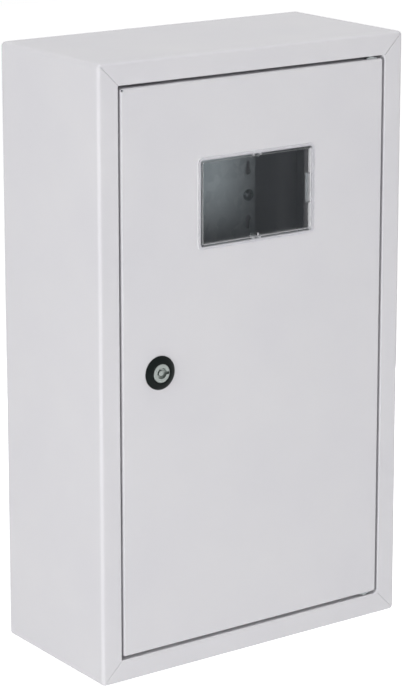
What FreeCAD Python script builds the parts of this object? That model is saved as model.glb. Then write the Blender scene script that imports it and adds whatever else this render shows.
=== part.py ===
import FreeCAD, Part
import math
import os

from FreeCAD import Vector

# Light-grey sheet-steel wall enclosure for an electricity meter, in millimetres.
# +X is right, +Z is up and the door faces -Y. The origin is the middle of the back
# face, at the centre of the four wall holes.

# Body
WIDTH = 310.0
HEIGHT = 520.0
DEPTH = 145.0
SHEET = 1.2
CORNER_RADIUS = 4.0
BODY_BEND_RADIUS = 3.0
LIP_WIDTH = 19.2
RETURN_DEPTH = 16.0
OPENING_EDGE_RADIUS = 1.0
LOCK_SIDE_CORNER = 1.4
HINGE_SIDE_CORNER = 4.0
MITRE_SEAM_WIDTH = 0.5
MITRE_SEAM_DEPTH = 0.3

# Back panel and its wall holes
BACK_FLANGE = 10.0
BACK_CORNER = 4.5
BACK_BEND_RADIUS = 1.0
WALL_HOLE_RADIUS = 4.0
WALL_HOLE_SIDE_INSET = 30.0
WALL_HOLE_END_INSET = 35.0

# Door
SIDE_GAP = 2.0
END_GAP = 2.5
DOOR_FOLD = 12.0
DOOR_BEND_RADIUS = 1.8
RELIEF_HOLE_RADIUS = 0.95
RELIEF_HOLE_INSET = 1.7
CORNER_MARGIN = 0.2

# Hinges
PIN_RADIUS = 2.0
PIN_INSET = 12.5
PIN_SETBACK = 5.0
PIN_CLEARANCE = 0.05
PIN_HEAD_RADIUS = 3.5
PIN_HEAD_HEIGHT = 1.5
PIN_REACH = 9.0
PIN_TIP_CHAMFER = 0.6
HINGE_BRACKET_THICKNESS = 2.0
HINGE_BRACKET_WIDTH = 18.0
HINGE_BRACKET_DEPTH = 12.0
HINGE_PLATE_THICKNESS = 1.0
HINGE_PLATE_LEFT = 6.0
HINGE_PLATE_RIGHT = 5.0
HINGE_PLATE_DEPTH = 10.0
HINGE_WASHER_THICKNESS = 1.0
HINGE_WASHER_RADIUS = 3.6

# Inspection window, a clear moulded insert that snaps into the door
WINDOW_X = 1.0
WINDOW_DROP = 102.8
WINDOW_WIDTH = 120.0
WINDOW_HEIGHT = 77.5
WINDOW_CORNER = 5.0
WINDOW_FLANGE = 1.6
WINDOW_EDGE_RADIUS = 0.8
WINDOW_RIM = 4.4
WINDOW_WALL = 1.6
WINDOW_INNER_CORNER = 1.2
PANE_SETBACK = 4.3
PANE_THICKNESS = 1.8
CUTOUT_CLEARANCE = 0.3
SIDE_TAB_LENGTH = 23.5
END_TAB_LENGTH = 6.0
TAB_DEPTH = 8.0
TAB_RELIEF = 2.2
TAB_SLOT = 1.0
HOOK_HEIGHT = 1.1
HOOK_CLEARANCE = 0.15

# Quarter-turn lock
LOCK_INSET = 36.8
LOCK_Z = 0.0
LOCK_COLLAR_RADIUS = 14.25
LOCK_COLLAR_RIM = 0.9
LOCK_COLLAR_HEIGHT = 3.0
LOCK_COLLAR_CREST = 9.6
LOCK_COLLAR_SAG = 0.7
LOCK_BARREL_RADIUS = 11.0
LOCK_BARREL_FLAT = 10.0
LOCK_HOLE_CLEARANCE = 0.2
LOCK_BARREL_LENGTH = 15.6
LOCK_NUT_FLATS = 27.0
LOCK_NUT_THICKNESS = 4.0
PLUG_RADIUS = 8.0
PLUG_PROUD = 3.2
PLUG_NECK_RADIUS = 6.0
PLUG_NECK_LENGTH = 3.6
PLUG_CLEARANCE = 0.05
PLUG_CHAMFER = 0.5
KEY_POST_RADIUS = 2.6
KEY_POST_DROP = 0.6
KEY_POST_ROUND = 0.9
KEY_GROOVE_RADIUS = 4.6
KEY_GROOVE_DEPTH = 3.0
KEY_NOTCH_HEIGHT = 2.4
KEY_NOTCH_REACH = 7.2
SPINDLE_SQUARE = 8.0
CAM_THICKNESS = 2.0
CAM_BEHIND_RETURN = 0.6
CAM_HOOK = 6.0
CAM_HUB_RADIUS = 9.0
CAM_TIP_WIDTH = 13.0
CAM_TIP_RADIUS = 2.5
CAM_HOLE_CLEARANCE = 0.05
CAM_SCREW_RADIUS = 2.1
CAM_SCREW_LENGTH = 8.0
CAM_SCREW_HEAD_RADIUS = 6.0
CAM_SCREW_HEAD_HEIGHT = 2.2
CAM_SCREW_FLANGE = 0.75
CAM_SCREW_FLATS = 8.0
CAM_SCREW_END_GAP = 1.0

# Meter plate on four brackets
PLATE_WIDTH = 184.0
PLATE_HEIGHT = 250.0
PLATE_THICKNESS = 1.5
PLATE_CORNER = 3.0
PLATE_STANDOFF = 20.0
PLATE_DROP = 100.5
PLATE_HOLE_INSET = 8.0
PLATE_SCREW_PITCH = 139.0
KEYHOLE_PITCH = 21.5
KEYHOLE_RADIUS = 3.0
KEYHOLE_SLOT_WIDTH = 3.4
KEYHOLE_LENGTH = 12.5
METER_SLOT_WIDTH = 5.5
METER_TOP_SLOT_LENGTH = 40.0
METER_TOP_SLOT_RISE = 95.0
METER_LOWER_SLOT_LENGTH = 24.0
METER_LOWER_SLOT_X = 45.0
METER_LOWER_SLOT_DROP = 75.0
BRACKET_SHEET = 1.5
BRACKET_BEND = 1.5
BRACKET_SEAT = 14.0
BRACKET_FOOT = 14.0
BRACKET_LENGTH = 20.0

# Device rail, top-hat section 35 x 7.5
RAIL_SHEET = 1.0
RAIL_WIDTH = 35.0
RAIL_DEPTH = 7.5
RAIL_WEB = 27.0
RAIL_BEND = 0.8
RAIL_FACE = 47.5
RAIL_RISE = 110.0
RAIL_END_INSET = 35.0
RAIL_SLOT_LENGTH = 15.0
RAIL_SLOT_WIDTH = 5.2
RAIL_SLOT_PITCH = 25.0
RAIL_BRACKET_INSET = 20.0
RAIL_BRACKET_LENGTH = 24.0
RAIL_BRACKET_SEAT = 16.0
RAIL_BRACKET_FOOT = 16.0

# Neutral and earth bars on insulating holders
BAR_LENGTH = 88.0
BAR_HEIGHT = 9.0
BAR_DEPTH = 7.0
BAR_OFFSET = 62.0
BAR_RISE = 45.0
BAR_TERMINALS = 9
BAR_PITCH = 7.2
BAR_WIRE_RADIUS = 2.2
BAR_SCREW_RADIUS = 1.8
BAR_SCREW_HEAD_RADIUS = 2.6
BAR_SCREW_HEAD_HEIGHT = 2.2
BAR_SCREW_SLOT = 1.0
HOLDER_INSET = 6.0
HOLDER_WIDTH = 11.0
HOLDER_HEIGHT = 16.0
HOLDER_STANDOFF = 24.0
HOLDER_FOOT = 4.0
HOLDER_FOOT_LENGTH = 40.0
HOLDER_FOOT_CORNER = 2.0
HOLDER_JAW_DEPTH = 4.2
HOLDER_SCREW_INSET = 6.0

# Earth studs with a washer and a nut each
STUD_RADIUS = 3.0
STUD_LENGTH = 20.0
STUD_NUT_FLATS = 10.0
STUD_NUT_THICKNESS = 5.0
STUD_WASHER_RADIUS = 6.0
STUD_WASHER_THICKNESS = 1.2
STUD_FLARE_RADIUS = 4.2
STUD_FLARE_HEIGHT = 0.8
STUD_TIP_CHAMFER = 0.5
BODY_STUD_SIDE_INSET = 32.0
BODY_STUD_RISE = 78.0
DOOR_STUD_RADIUS = 2.5
DOOR_STUD_LENGTH = 14.0
DOOR_STUD_NUT_FLATS = 8.0
DOOR_STUD_NUT_THICKNESS = 4.0
DOOR_STUD_SIDE_INSET = 32.0
DOOR_STUD_RISE = 40.0

# Cable grommets in the bottom
GROMMET_PITCH = 75.0
GROMMET_SETBACK = 60.0
SIDE_GROMMET_RADIUS = 11.0
MIDDLE_GROMMET_RADIUS = 14.0
GROMMET_LIP = 3.0
GROMMET_LIP_THICKNESS = 2.0
GROMMET_INNER_THICKNESS = 1.6
GROMMET_MEMBRANE = 1.0
GROMMET_STEP = 4.0
GROMMET_STEP_RISE = 1.0
GROMMET_STEP_SLOPE = 1.5
GROMMET_WALL = 2.0
GROMMET_EDGE = 0.8
GROMMET_CLEARANCE = 0.1

# Machine screws
SCREW_RADIUS = 2.0
SCREW_HEAD_RADIUS = 4.2
SCREW_HEAD_HEIGHT = 2.4
SCREW_HEAD_ROUND = 1.4
RECESS_SPAN = 4.6
RECESS_WIDTH = 1.0
RECESS_DEPTH = 1.4
SCREW_WASHER_RADIUS = 5.2
SCREW_WASHER_THICKNESS = 1.0
SCREW_LENGTH = 9.0
HOLE_CLEARANCE = 0.3
THREAD_CLEARANCE = 0.05

# Places that follow from the sizes above
FRONT = -DEPTH
HALF_WIDTH = WIDTH / 2
HALF_HEIGHT = HEIGHT / 2
OPENING_X = HALF_WIDTH - LIP_WIDTH
OPENING_Z = HALF_HEIGHT - LIP_WIDTH
DOOR_X = OPENING_X - SIDE_GAP
DOOR_Z = OPENING_Z - END_GAP
DOOR_BACK = FRONT + SHEET
PIN_X = OPENING_X - PIN_INSET
PIN_Y = FRONT + PIN_SETBACK
LOCK_X = -DOOR_X + LOCK_INSET
WINDOW_Z = DOOR_Z - WINDOW_DROP
CAM_FRONT = FRONT + RETURN_DEPTH + CAM_BEHIND_RETURN
CAM_BACK = CAM_FRONT + CAM_THICKNESS
CAM_REACH = LOCK_INSET + SIDE_GAP + CAM_HOOK
BACK_FACE = -SHEET
PLATE_FRONT = -PLATE_STANDOFF
PLATE_BACK = PLATE_FRONT + PLATE_THICKNESS
PLATE_Z = WINDOW_Z - PLATE_DROP
PLATE_HOLE_X = PLATE_WIDTH / 2 - PLATE_HOLE_INSET
PLATE_SCREW_Z = (PLATE_Z - PLATE_SCREW_PITCH / 2, PLATE_Z + PLATE_SCREW_PITCH / 2)
RAIL_Z = -HALF_HEIGHT + RAIL_RISE
RAIL_BACK = -RAIL_FACE + RAIL_DEPTH
RAIL_HALF_LENGTH = HALF_WIDTH - RAIL_END_INSET
RAIL_BRACKET_X = RAIL_HALF_LENGTH - RAIL_BRACKET_INSET
BAR_Z = -HALF_HEIGHT + BAR_RISE
BAR_BACK = BACK_FACE - HOLDER_STANDOFF
HOLDER_SCREW_REACH = HOLDER_FOOT_LENGTH / 2 - HOLDER_SCREW_INSET
HOLDER_SCREW_Z = (BAR_Z - HOLDER_SCREW_REACH, BAR_Z + HOLDER_SCREW_REACH)
WALL_HOLE_X = HALF_WIDTH - WALL_HOLE_SIDE_INSET
WALL_HOLE_Z = HALF_HEIGHT - WALL_HOLE_END_INSET
BODY_STUD = (HALF_WIDTH - BODY_STUD_SIDE_INSET, -HALF_HEIGHT + BODY_STUD_RISE)
DOOR_STUD = (DOOR_X - DOOR_STUD_SIDE_INSET, -DOOR_Z + DOOR_STUD_RISE)
GROMMETS = {
    "left_cable_grommet": (-GROMMET_PITCH, SIDE_GROMMET_RADIUS),
    "middle_cable_grommet": (0.0, MIDDLE_GROMMET_RADIUS),
    "right_cable_grommet": (GROMMET_PITCH, SIDE_GROMMET_RADIUS),
}

X_AXIS = Vector(1, 0, 0)
Y_AXIS = Vector(0, 1, 0)
Z_AXIS = Vector(0, 0, 1)


def block(x_range, y_range, z_range):
    """A box between two limits on each axis."""
    low = Vector(x_range[0], y_range[0], z_range[0])
    size = [limits[1] - limits[0] for limits in (x_range, y_range, z_range)]
    return Part.makeBox(*size, low)


def disc(radius, start, direction, length):
    """A cylinder from a start point along a direction."""
    return Part.makeCylinder(radius, length, start, direction)


def group(solids):
    """Separate solids kept as one node."""
    return Part.makeCompound(solids)


def outline(half_x, half_z, y, radii, centre=(0.0, 0.0)):
    """A rounded rectangle in the XZ plane.

    The radii run bottom left, bottom right, top right, top left."""
    signs = ((-1, -1), (1, -1), (1, 1), (-1, 1))
    edges = []
    starts = []
    ends = []
    for index, (sign_x, sign_z) in enumerate(signs):
        radius = radii[index]
        corner = Vector(centre[0] + sign_x * half_x, y, centre[1] + sign_z * half_z)
        toward_x = corner - Vector(sign_x * radius, 0, 0)
        toward_z = corner - Vector(0, 0, sign_z * radius)
        middle = corner - Vector(sign_x, 0, sign_z) * radius * (1 - math.sqrt(0.5))
        start, end = (toward_z, toward_x) if sign_x == sign_z else (toward_x, toward_z)
        starts.append(start)
        ends.append(end)
        edges.append(Part.Arc(start, middle, end).toShape())
    for index in range(len(signs)):
        following = (index + 1) % len(signs)
        edges.append(Part.LineSegment(ends[index], starts[following]).toShape())
    return Part.Face(Part.Wire(Part.__sortEdges__(edges)))


def slab(half_x, half_z, y_range, radii, centre=(0.0, 0.0)):
    """A rounded rectangle in the XZ plane, given depth along Y."""
    if not isinstance(radii, tuple):
        radii = (radii,) * 4
    face = outline(half_x, half_z, y_range[0], radii, centre)
    return face.extrude(Vector(0, y_range[1] - y_range[0], 0))


def round_edges_at(solid, y, radius, keep):
    """Round the edges that lie in one XZ plane and pass a test."""
    chosen = []
    for edge in solid.Edges:
        box = edge.BoundBox
        if abs(box.YMin - y) < 1e-4 and abs(box.YMax - y) < 1e-4 and keep(box):
            chosen.append(edge)
    return solid.makeFillet(radius, chosen)


def folded_sheet(path, thickness, bend, place, extrusion):
    """A bent strip of sheet metal.

    The path is the middle line of the section. Each bend has the given inside radius,
    and place turns the section's two coordinates into a point in space."""
    half = thickness / 2
    middle_radius = bend + half
    points = [Vector(u, v, 0) for u, v in path]
    headings = [(b - a).normalize() for a, b in zip(points, points[1:])]
    normals = [Vector(-heading.y, heading.x, 0) for heading in headings]
    sides = []
    for side in (half, -half):
        pieces = []
        start = points[0] + normals[0] * side
        for index in range(1, len(points) - 1):
            before, after = headings[index - 1], headings[index]
            turn = math.atan2(before.x * after.y - before.y * after.x, before.dot(after))
            sign = math.copysign(1.0, turn)
            setback = middle_radius * math.tan(abs(turn) / 2)
            centre = points[index] - before * setback + normals[index - 1] * sign * middle_radius
            radius = middle_radius - sign * side
            first = centre - normals[index - 1] * sign * radius
            last = centre - normals[index] * sign * radius
            bisector = (normals[index - 1] + normals[index]).normalize()
            pieces.append((start, None, first))
            pieces.append((first, centre - bisector * sign * radius, last))
            start = last
        pieces.append((start, None, points[-1] + normals[-1] * side))
        sides.append(pieces)
    left, right = sides
    caps = [(left[-1][2], None, right[-1][2]), (left[0][0], None, right[0][0])]
    edges = []
    for start, through, end in left + right + caps:
        ends = [place(point.x, point.y) for point in (start, end)]
        if through is None:
            edges.append(Part.LineSegment(*ends).toShape())
        else:
            edges.append(Part.Arc(ends[0], place(through.x, through.y), ends[1]).toShape())
    section = Part.Face(Part.Wire(Part.__sortEdges__(edges)))
    return section.extrude(extrusion)


def turned(profile, centre):
    """A solid of revolution about a line along Y through the centre.

    The profile is a closed list of (radius, y) points, where a triple
    (radius, y, "arc") is passed through by an arc to the next point."""
    points = [(Vector(centre[0] + item[0], item[1], centre[1]), len(item) == 3) for item in profile]
    edges = []
    index = 0
    while index < len(points):
        start = points[index][0]
        following = points[(index + 1) % len(points)]
        if following[1]:
            end = points[(index + 2) % len(points)][0]
            edges.append(Part.Arc(start, following[0], end).toShape())
            index += 2
        else:
            edges.append(Part.LineSegment(start, following[0]).toShape())
            index += 1
    face = Part.Face(Part.Wire(edges))
    return face.revolve(Vector(centre[0], 0, centre[1]), Y_AXIS, 360)


def hexagon(across_flats, start, direction, length):
    """A hexagonal prism, chamfered by a cone at its far end."""
    radius = across_flats / math.sqrt(3)
    corners = [Vector(radius * math.cos(math.radians(60 * i)),
                      radius * math.sin(math.radians(60 * i)), 0) for i in range(7)]
    prism = Part.Face(Part.makePolygon(corners)).extrude(Vector(0, 0, length))
    crown = Part.makeCone(across_flats / 2 + length * math.sqrt(3), across_flats / 2, length)
    prism = prism.common(crown)
    prism.Placement = FreeCAD.Placement(start, FreeCAD.Rotation(Z_AXIS, direction))
    return prism


def pan_screw(seat, direction, length=SCREW_LENGTH, washer=True):
    """A cross-recess pan-head screw. The seat is the face it clamps, the direction
    is the way its shank points, and the length is counted from the seat."""
    outward = direction * -1
    washer_thickness = SCREW_WASHER_THICKNESS if washer else 0.0
    under_head = seat + outward * washer_thickness
    head = disc(SCREW_HEAD_RADIUS, under_head, outward, SCREW_HEAD_HEIGHT)
    rim = [edge for edge in head.Edges if edge.Closed
           and (edge.CenterOfMass - under_head).Length > SCREW_HEAD_HEIGHT / 2]
    head = head.makeFillet(SCREW_HEAD_ROUND, rim)
    top = under_head + outward * SCREW_HEAD_HEIGHT
    for long_x, long_y in ((RECESS_SPAN, RECESS_WIDTH), (RECESS_WIDTH, RECESS_SPAN)):
        arm = Part.makeBox(long_x, long_y, RECESS_DEPTH,
                           Vector(-long_x / 2, -long_y / 2, -RECESS_DEPTH))
        arm.Placement = FreeCAD.Placement(top, FreeCAD.Rotation(Z_AXIS, outward))
        head = head.cut(arm)
    screw = head.fuse(disc(SCREW_RADIUS, under_head, direction, length + washer_thickness))
    if washer:
        screw = screw.fuse(disc(SCREW_WASHER_RADIUS, seat, outward, washer_thickness))
    return screw


def body_shell():
    """Sides, top and bottom, with their front lips and inner return, still in one piece."""
    outside = slab(HALF_WIDTH, HALF_HEIGHT, (FRONT, 0), CORNER_RADIUS)
    outside = round_edges_at(outside, FRONT, BODY_BEND_RADIUS, lambda box: True)
    inside = slab(HALF_WIDTH - SHEET, HALF_HEIGHT - SHEET, (FRONT + SHEET, 0),
                  CORNER_RADIUS - SHEET)
    inside = round_edges_at(inside, FRONT + SHEET, BODY_BEND_RADIUS - SHEET, lambda box: True)
    corners = (LOCK_SIDE_CORNER, HINGE_SIDE_CORNER, HINGE_SIDE_CORNER, LOCK_SIDE_CORNER)
    outer_corners = tuple(radius + SHEET for radius in corners)
    collar = slab(OPENING_X + SHEET, OPENING_Z + SHEET, (FRONT, FRONT + RETURN_DEPTH),
                  outer_corners)
    opening = slab(OPENING_X, OPENING_Z, (FRONT, FRONT + RETURN_DEPTH), corners)
    shell = outside.cut(inside).fuse(collar).removeSplitter().cut(opening)
    shell = round_edges_at(shell, FRONT, OPENING_EDGE_RADIUS,
                          lambda box: max(abs(box.XMin), abs(box.XMax)) < OPENING_X + 0.01
                          and max(abs(box.ZMin), abs(box.ZMax)) < OPENING_Z + 0.01)
    for seam in mitre_seams():
        shell = shell.cut(seam)
    for x, radius in GROMMETS.values():
        start = Vector(x, -GROMMET_SETBACK, -HALF_HEIGHT)
        shell = shell.cut(disc(radius, start, Z_AXIS, SHEET))
    for side in (1, -1):
        start = Vector(PIN_X, PIN_Y, side * OPENING_Z)
        shell = shell.cut(disc(PIN_RADIUS + PIN_CLEARANCE, start, Z_AXIS * side, SHEET))
    return shell


def body_sides():
    """The shell cut apart at its four welded mitres: four folded channels, by name."""
    edge_x, edge_z = HALF_WIDTH + SHEET, HALF_HEIGHT + SHEET
    inner_x, inner_z = OPENING_X - SHEET, OPENING_Z - SHEET
    shell = body_shell()
    sides = {}
    for name, sign in (("body_left_side", -1), ("body_right_side", 1)):
        corners = [Vector(sign * edge_x, FRONT, edge_z), Vector(sign * inner_x, FRONT, inner_z),
                   Vector(sign * inner_x, FRONT, -inner_z), Vector(sign * edge_x, FRONT, -edge_z)]
        wedge = Part.Face(Part.makePolygon(corners + corners[:1])).extrude(Vector(0, DEPTH, 0))
        sides[name] = shell.common(wedge)
        shell = shell.cut(wedge)
    ends = sorted(shell.Solids, key=lambda solid: solid.CenterOfMass.z)
    sides["body_bottom"], sides["body_top"] = ends
    return sides


def mitre_seams():
    """Shallow grooves along the welded mitres at the lip's four corners."""
    run = LIP_WIDTH * math.sqrt(2)
    seams = []
    for sign_x in (-1, 1):
        for sign_z in (-1, 1):
            groove = Part.makeBox(run, MITRE_SEAM_DEPTH, MITRE_SEAM_WIDTH,
                                  Vector(0, 0, -MITRE_SEAM_WIDTH / 2))
            angle = math.degrees(math.atan2(sign_z, sign_x))
            groove.rotate(Vector(0, 0, 0), Y_AXIS, -angle)
            groove.translate(Vector(sign_x * OPENING_X, FRONT, sign_z * OPENING_Z))
            seams.append(groove)
    return seams


def back_panel():
    """A shallow pan welded inside the four sides, with the four wall holes."""
    outside = slab(HALF_WIDTH - SHEET, HALF_HEIGHT - SHEET, (-BACK_FLANGE, 0), BACK_CORNER)
    outside = round_edges_at(outside, 0, BACK_BEND_RADIUS, lambda box: True)
    inside = slab(HALF_WIDTH - 2 * SHEET, HALF_HEIGHT - 2 * SHEET, (-BACK_FLANGE, BACK_FACE),
                  BACK_CORNER - SHEET)
    panel = outside.cut(inside)
    for sign_x in (-1, 1):
        for sign_z in (-1, 1):
            start = Vector(sign_x * WALL_HOLE_X, BACK_FACE, sign_z * WALL_HOLE_Z)
            panel = panel.cut(disc(WALL_HOLE_RADIUS, start, Y_AXIS, SHEET))
    for x, z in holder_screw_places():
        start = Vector(x, BACK_FACE, z)
        panel = panel.cut(disc(SCREW_RADIUS + THREAD_CLEARANCE, start, Y_AXIS, SHEET))
    return panel


def lock_section(radius, flat, y_range):
    """The barrel's round section with two flats, as a solid along Y."""
    start = Vector(LOCK_X, y_range[0], LOCK_Z)
    depth = y_range[1] - y_range[0]
    barrel = disc(radius, start, Y_AXIS, depth)
    limits = block((LOCK_X - flat, LOCK_X + flat), y_range, (LOCK_Z - radius, LOCK_Z + radius))
    return barrel.common(limits)


def door_leaf():
    """The folded door sheet, with its window cut-out and lock and pin holes."""
    smallest = DOOR_BEND_RADIUS + CORNER_MARGIN
    lock_corner = max(LOCK_SIDE_CORNER, smallest)
    hinge_corner = max(HINGE_SIDE_CORNER - SIDE_GAP, smallest)
    corners = (lock_corner, hinge_corner, hinge_corner, lock_corner)
    inner_corners = tuple(radius - SHEET for radius in corners)
    outside = slab(DOOR_X, DOOR_Z, (FRONT, FRONT + DOOR_FOLD), corners)
    outside = round_edges_at(outside, FRONT, DOOR_BEND_RADIUS, lambda box: True)
    inside = slab(DOOR_X - SHEET, DOOR_Z - SHEET, (DOOR_BACK, FRONT + DOOR_FOLD), inner_corners)
    inside = round_edges_at(inside, DOOR_BACK, DOOR_BEND_RADIUS - SHEET, lambda box: True)
    leaf = outside.cut(inside)
    leaf = leaf.cut(slab(window_body_half()[0] + CUTOUT_CLEARANCE,
                         window_body_half()[1] + CUTOUT_CLEARANCE, (FRONT, DOOR_BACK),
                         WINDOW_INNER_CORNER + WINDOW_WALL, (WINDOW_X, WINDOW_Z)))
    leaf = leaf.cut(lock_section(LOCK_BARREL_RADIUS + LOCK_HOLE_CLEARANCE,
                                 LOCK_BARREL_FLAT + LOCK_HOLE_CLEARANCE, (FRONT, DOOR_BACK)))
    relief = Vector(-DOOR_X + RELIEF_HOLE_INSET, FRONT, DOOR_Z - RELIEF_HOLE_INSET)
    leaf = leaf.cut(disc(RELIEF_HOLE_RADIUS, relief, Y_AXIS, DOOR_BEND_RADIUS + SHEET))
    for side in (1, -1):
        start = Vector(PIN_X, PIN_Y, side * (DOOR_Z - SHEET))
        leaf = leaf.cut(disc(PIN_RADIUS + PIN_CLEARANCE, start, Z_AXIS * side, SHEET))
    return leaf


def hinge_z_range(side, low, high):
    """A height range measured out from the middle, put at the top or the bottom."""
    return (low, high) if side > 0 else (-high, -low)


def hinge_bracket(side):
    """A doubler welded behind the return, which the pin's head sits on."""
    base = OPENING_Z + SHEET
    plate = block((PIN_X - HINGE_BRACKET_WIDTH / 2, PIN_X + HINGE_BRACKET_WIDTH / 2),
                  (DOOR_BACK, DOOR_BACK + HINGE_BRACKET_DEPTH),
                  hinge_z_range(side, base, base + HINGE_BRACKET_THICKNESS))
    start = Vector(PIN_X, PIN_Y, side * base)
    return plate.cut(disc(PIN_RADIUS + PIN_CLEARANCE, start, Z_AXIS * side,
                          HINGE_BRACKET_THICKNESS))


def hinge_pin(side):
    """A headed pin that drops through the bracket and the return into the door."""
    seat = OPENING_Z + SHEET + HINGE_BRACKET_THICKNESS
    inward = Z_AXIS * -side
    start = Vector(PIN_X, PIN_Y, side * seat)
    shank = disc(PIN_RADIUS, start, inward, PIN_REACH)
    tip = [edge for edge in shank.Edges if edge.Closed
           and (edge.CenterOfMass - start).Length > PIN_REACH / 2]
    shank = shank.makeChamfer(PIN_TIP_CHAMFER, tip)
    return shank.fuse(disc(PIN_HEAD_RADIUS, start, Z_AXIS * side, PIN_HEAD_HEIGHT))


def hinge_plate(side):
    """The wear plate welded on the door's fold, which turns about the pin."""
    plate = block((PIN_X - HINGE_PLATE_LEFT, PIN_X + HINGE_PLATE_RIGHT),
                  (FRONT + DOOR_BEND_RADIUS, FRONT + DOOR_BEND_RADIUS + HINGE_PLATE_DEPTH),
                  hinge_z_range(side, DOOR_Z, DOOR_Z + HINGE_PLATE_THICKNESS))
    start = Vector(PIN_X, PIN_Y, side * DOOR_Z)
    return plate.cut(disc(PIN_RADIUS + PIN_CLEARANCE, start, Z_AXIS * side,
                          HINGE_PLATE_THICKNESS))


def hinge_washers():
    """Two plain washers between the door's wear plates and the frame."""
    washers = []
    for side in (1, -1):
        base = DOOR_Z + HINGE_PLATE_THICKNESS
        start = Vector(PIN_X, PIN_Y, side * base)
        ring = disc(HINGE_WASHER_RADIUS, start, Z_AXIS * side, HINGE_WASHER_THICKNESS)
        bore = disc(PIN_RADIUS + PIN_CLEARANCE, start, Z_AXIS * side, HINGE_WASHER_THICKNESS)
        washers.append(ring.cut(bore))
    return group(washers)


def window_clear_half():
    """Half the width and height of the clear view through the insert."""
    return WINDOW_WIDTH / 2 - WINDOW_RIM, WINDOW_HEIGHT / 2 - WINDOW_RIM


def window_body_half():
    """Half the width and height of the insert's walls, outside."""
    clear = window_clear_half()
    return clear[0] + WINDOW_WALL, clear[1] + WINDOW_WALL


def window_insert():
    """The clear insert: a flange, a shallow tray with its pane, and four snap tabs."""
    centre = (WINDOW_X, WINDOW_Z)
    face = FRONT - WINDOW_FLANGE
    pane_front = face + PANE_SETBACK
    pane_back = pane_front + PANE_THICKNESS
    clear = window_clear_half()
    body = window_body_half()
    flange = slab(WINDOW_WIDTH / 2, WINDOW_HEIGHT / 2, (face, FRONT), WINDOW_CORNER, centre)
    flange = round_edges_at(flange, face, WINDOW_EDGE_RADIUS, lambda box: True)
    tray = slab(body[0], body[1], (FRONT, pane_back), WINDOW_INNER_CORNER + WINDOW_WALL, centre)
    insert = flange.fuse(tray).removeSplitter()
    insert = insert.cut(slab(clear[0], clear[1], (face, pane_front), WINDOW_INNER_CORNER, centre))
    for direction, length in ((X_AXIS, SIDE_TAB_LENGTH), (X_AXIS * -1, SIDE_TAB_LENGTH),
                              (Z_AXIS, END_TAB_LENGTH), (Z_AXIS * -1, END_TAB_LENGTH)):
        relief, tab = snap_tab(direction, length, face)
        insert = insert.cut(relief).fuse(tab)
    return insert.removeSplitter()


def snap_tab(direction, length, face):
    """The relief that frees one snap tab, and the tab with its hook.

    Both are made facing +X and turned about the window's own centre."""
    body_x, body_z = window_body_half()
    reach = body_x if abs(direction.x) > 0.5 else body_z
    inner = reach - WINDOW_WALL
    half = length / 2
    relief = block((inner - TAB_RELIEF, reach), (FRONT, face + PANE_SETBACK + PANE_THICKNESS),
                   (-half - TAB_SLOT, half + TAB_SLOT))
    hook_start = DOOR_BACK + HOOK_CLEARANCE
    tab_end = face + TAB_DEPTH
    profile = [Vector(inner, FRONT, -half), Vector(reach, FRONT, -half),
               Vector(reach, hook_start, -half), Vector(reach + HOOK_HEIGHT, hook_start, -half),
               Vector(reach, tab_end, -half), Vector(inner, tab_end, -half),
               Vector(inner, FRONT, -half)]
    tab = Part.Face(Part.makePolygon(profile)).extrude(Vector(0, 0, length))
    turn = FreeCAD.Rotation(X_AXIS, direction)
    for solid in (relief, tab):
        if direction.x < -0.5:
            turn = FreeCAD.Rotation(Y_AXIS, 180)
        solid.Placement = FreeCAD.Placement(Vector(WINDOW_X, 0, WINDOW_Z), turn)
    return relief, tab


def lock_housing():
    """The black moulded lock body: a domed collar and a flatted, threaded barrel."""
    bore = PLUG_RADIUS + PLUG_CLEARANCE
    neck = PLUG_NECK_RADIUS + PLUG_CLEARANCE
    crest = FRONT - LOCK_COLLAR_HEIGHT
    rim = FRONT - LOCK_COLLAR_RIM
    dome_radius = (LOCK_COLLAR_CREST + LOCK_COLLAR_RADIUS) / 2
    dome_y = crest + LOCK_COLLAR_SAG
    end = FRONT + LOCK_BARREL_LENGTH
    shoulder = end - PLUG_NECK_LENGTH + PLUG_CLEARANCE
    housing = turned([(bore, crest), (LOCK_COLLAR_CREST, crest), (dome_radius, dome_y, "arc"),
                      (LOCK_COLLAR_RADIUS, rim), (LOCK_COLLAR_RADIUS, FRONT),
                      (LOCK_BARREL_RADIUS, FRONT), (LOCK_BARREL_RADIUS, end), (neck, end),
                      (neck, shoulder), (bore, shoulder)], (LOCK_X, LOCK_Z))
    barrel = lock_section(LOCK_BARREL_RADIUS, LOCK_BARREL_FLAT, (FRONT, end))
    collar = disc(LOCK_COLLAR_RADIUS, Vector(LOCK_X, crest, LOCK_Z), Y_AXIS, LOCK_COLLAR_HEIGHT)
    return housing.common(barrel.fuse(collar))


def lock_nut():
    """The hexagon nut that clamps the lock body against the door sheet."""
    start = Vector(LOCK_X, DOOR_BACK, LOCK_Z)
    nut = hexagon(LOCK_NUT_FLATS, start, Y_AXIS, LOCK_NUT_THICKNESS)
    bore = disc(LOCK_BARREL_RADIUS + LOCK_HOLE_CLEARANCE, start, Y_AXIS, LOCK_NUT_THICKNESS)
    return nut.cut(bore)


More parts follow.
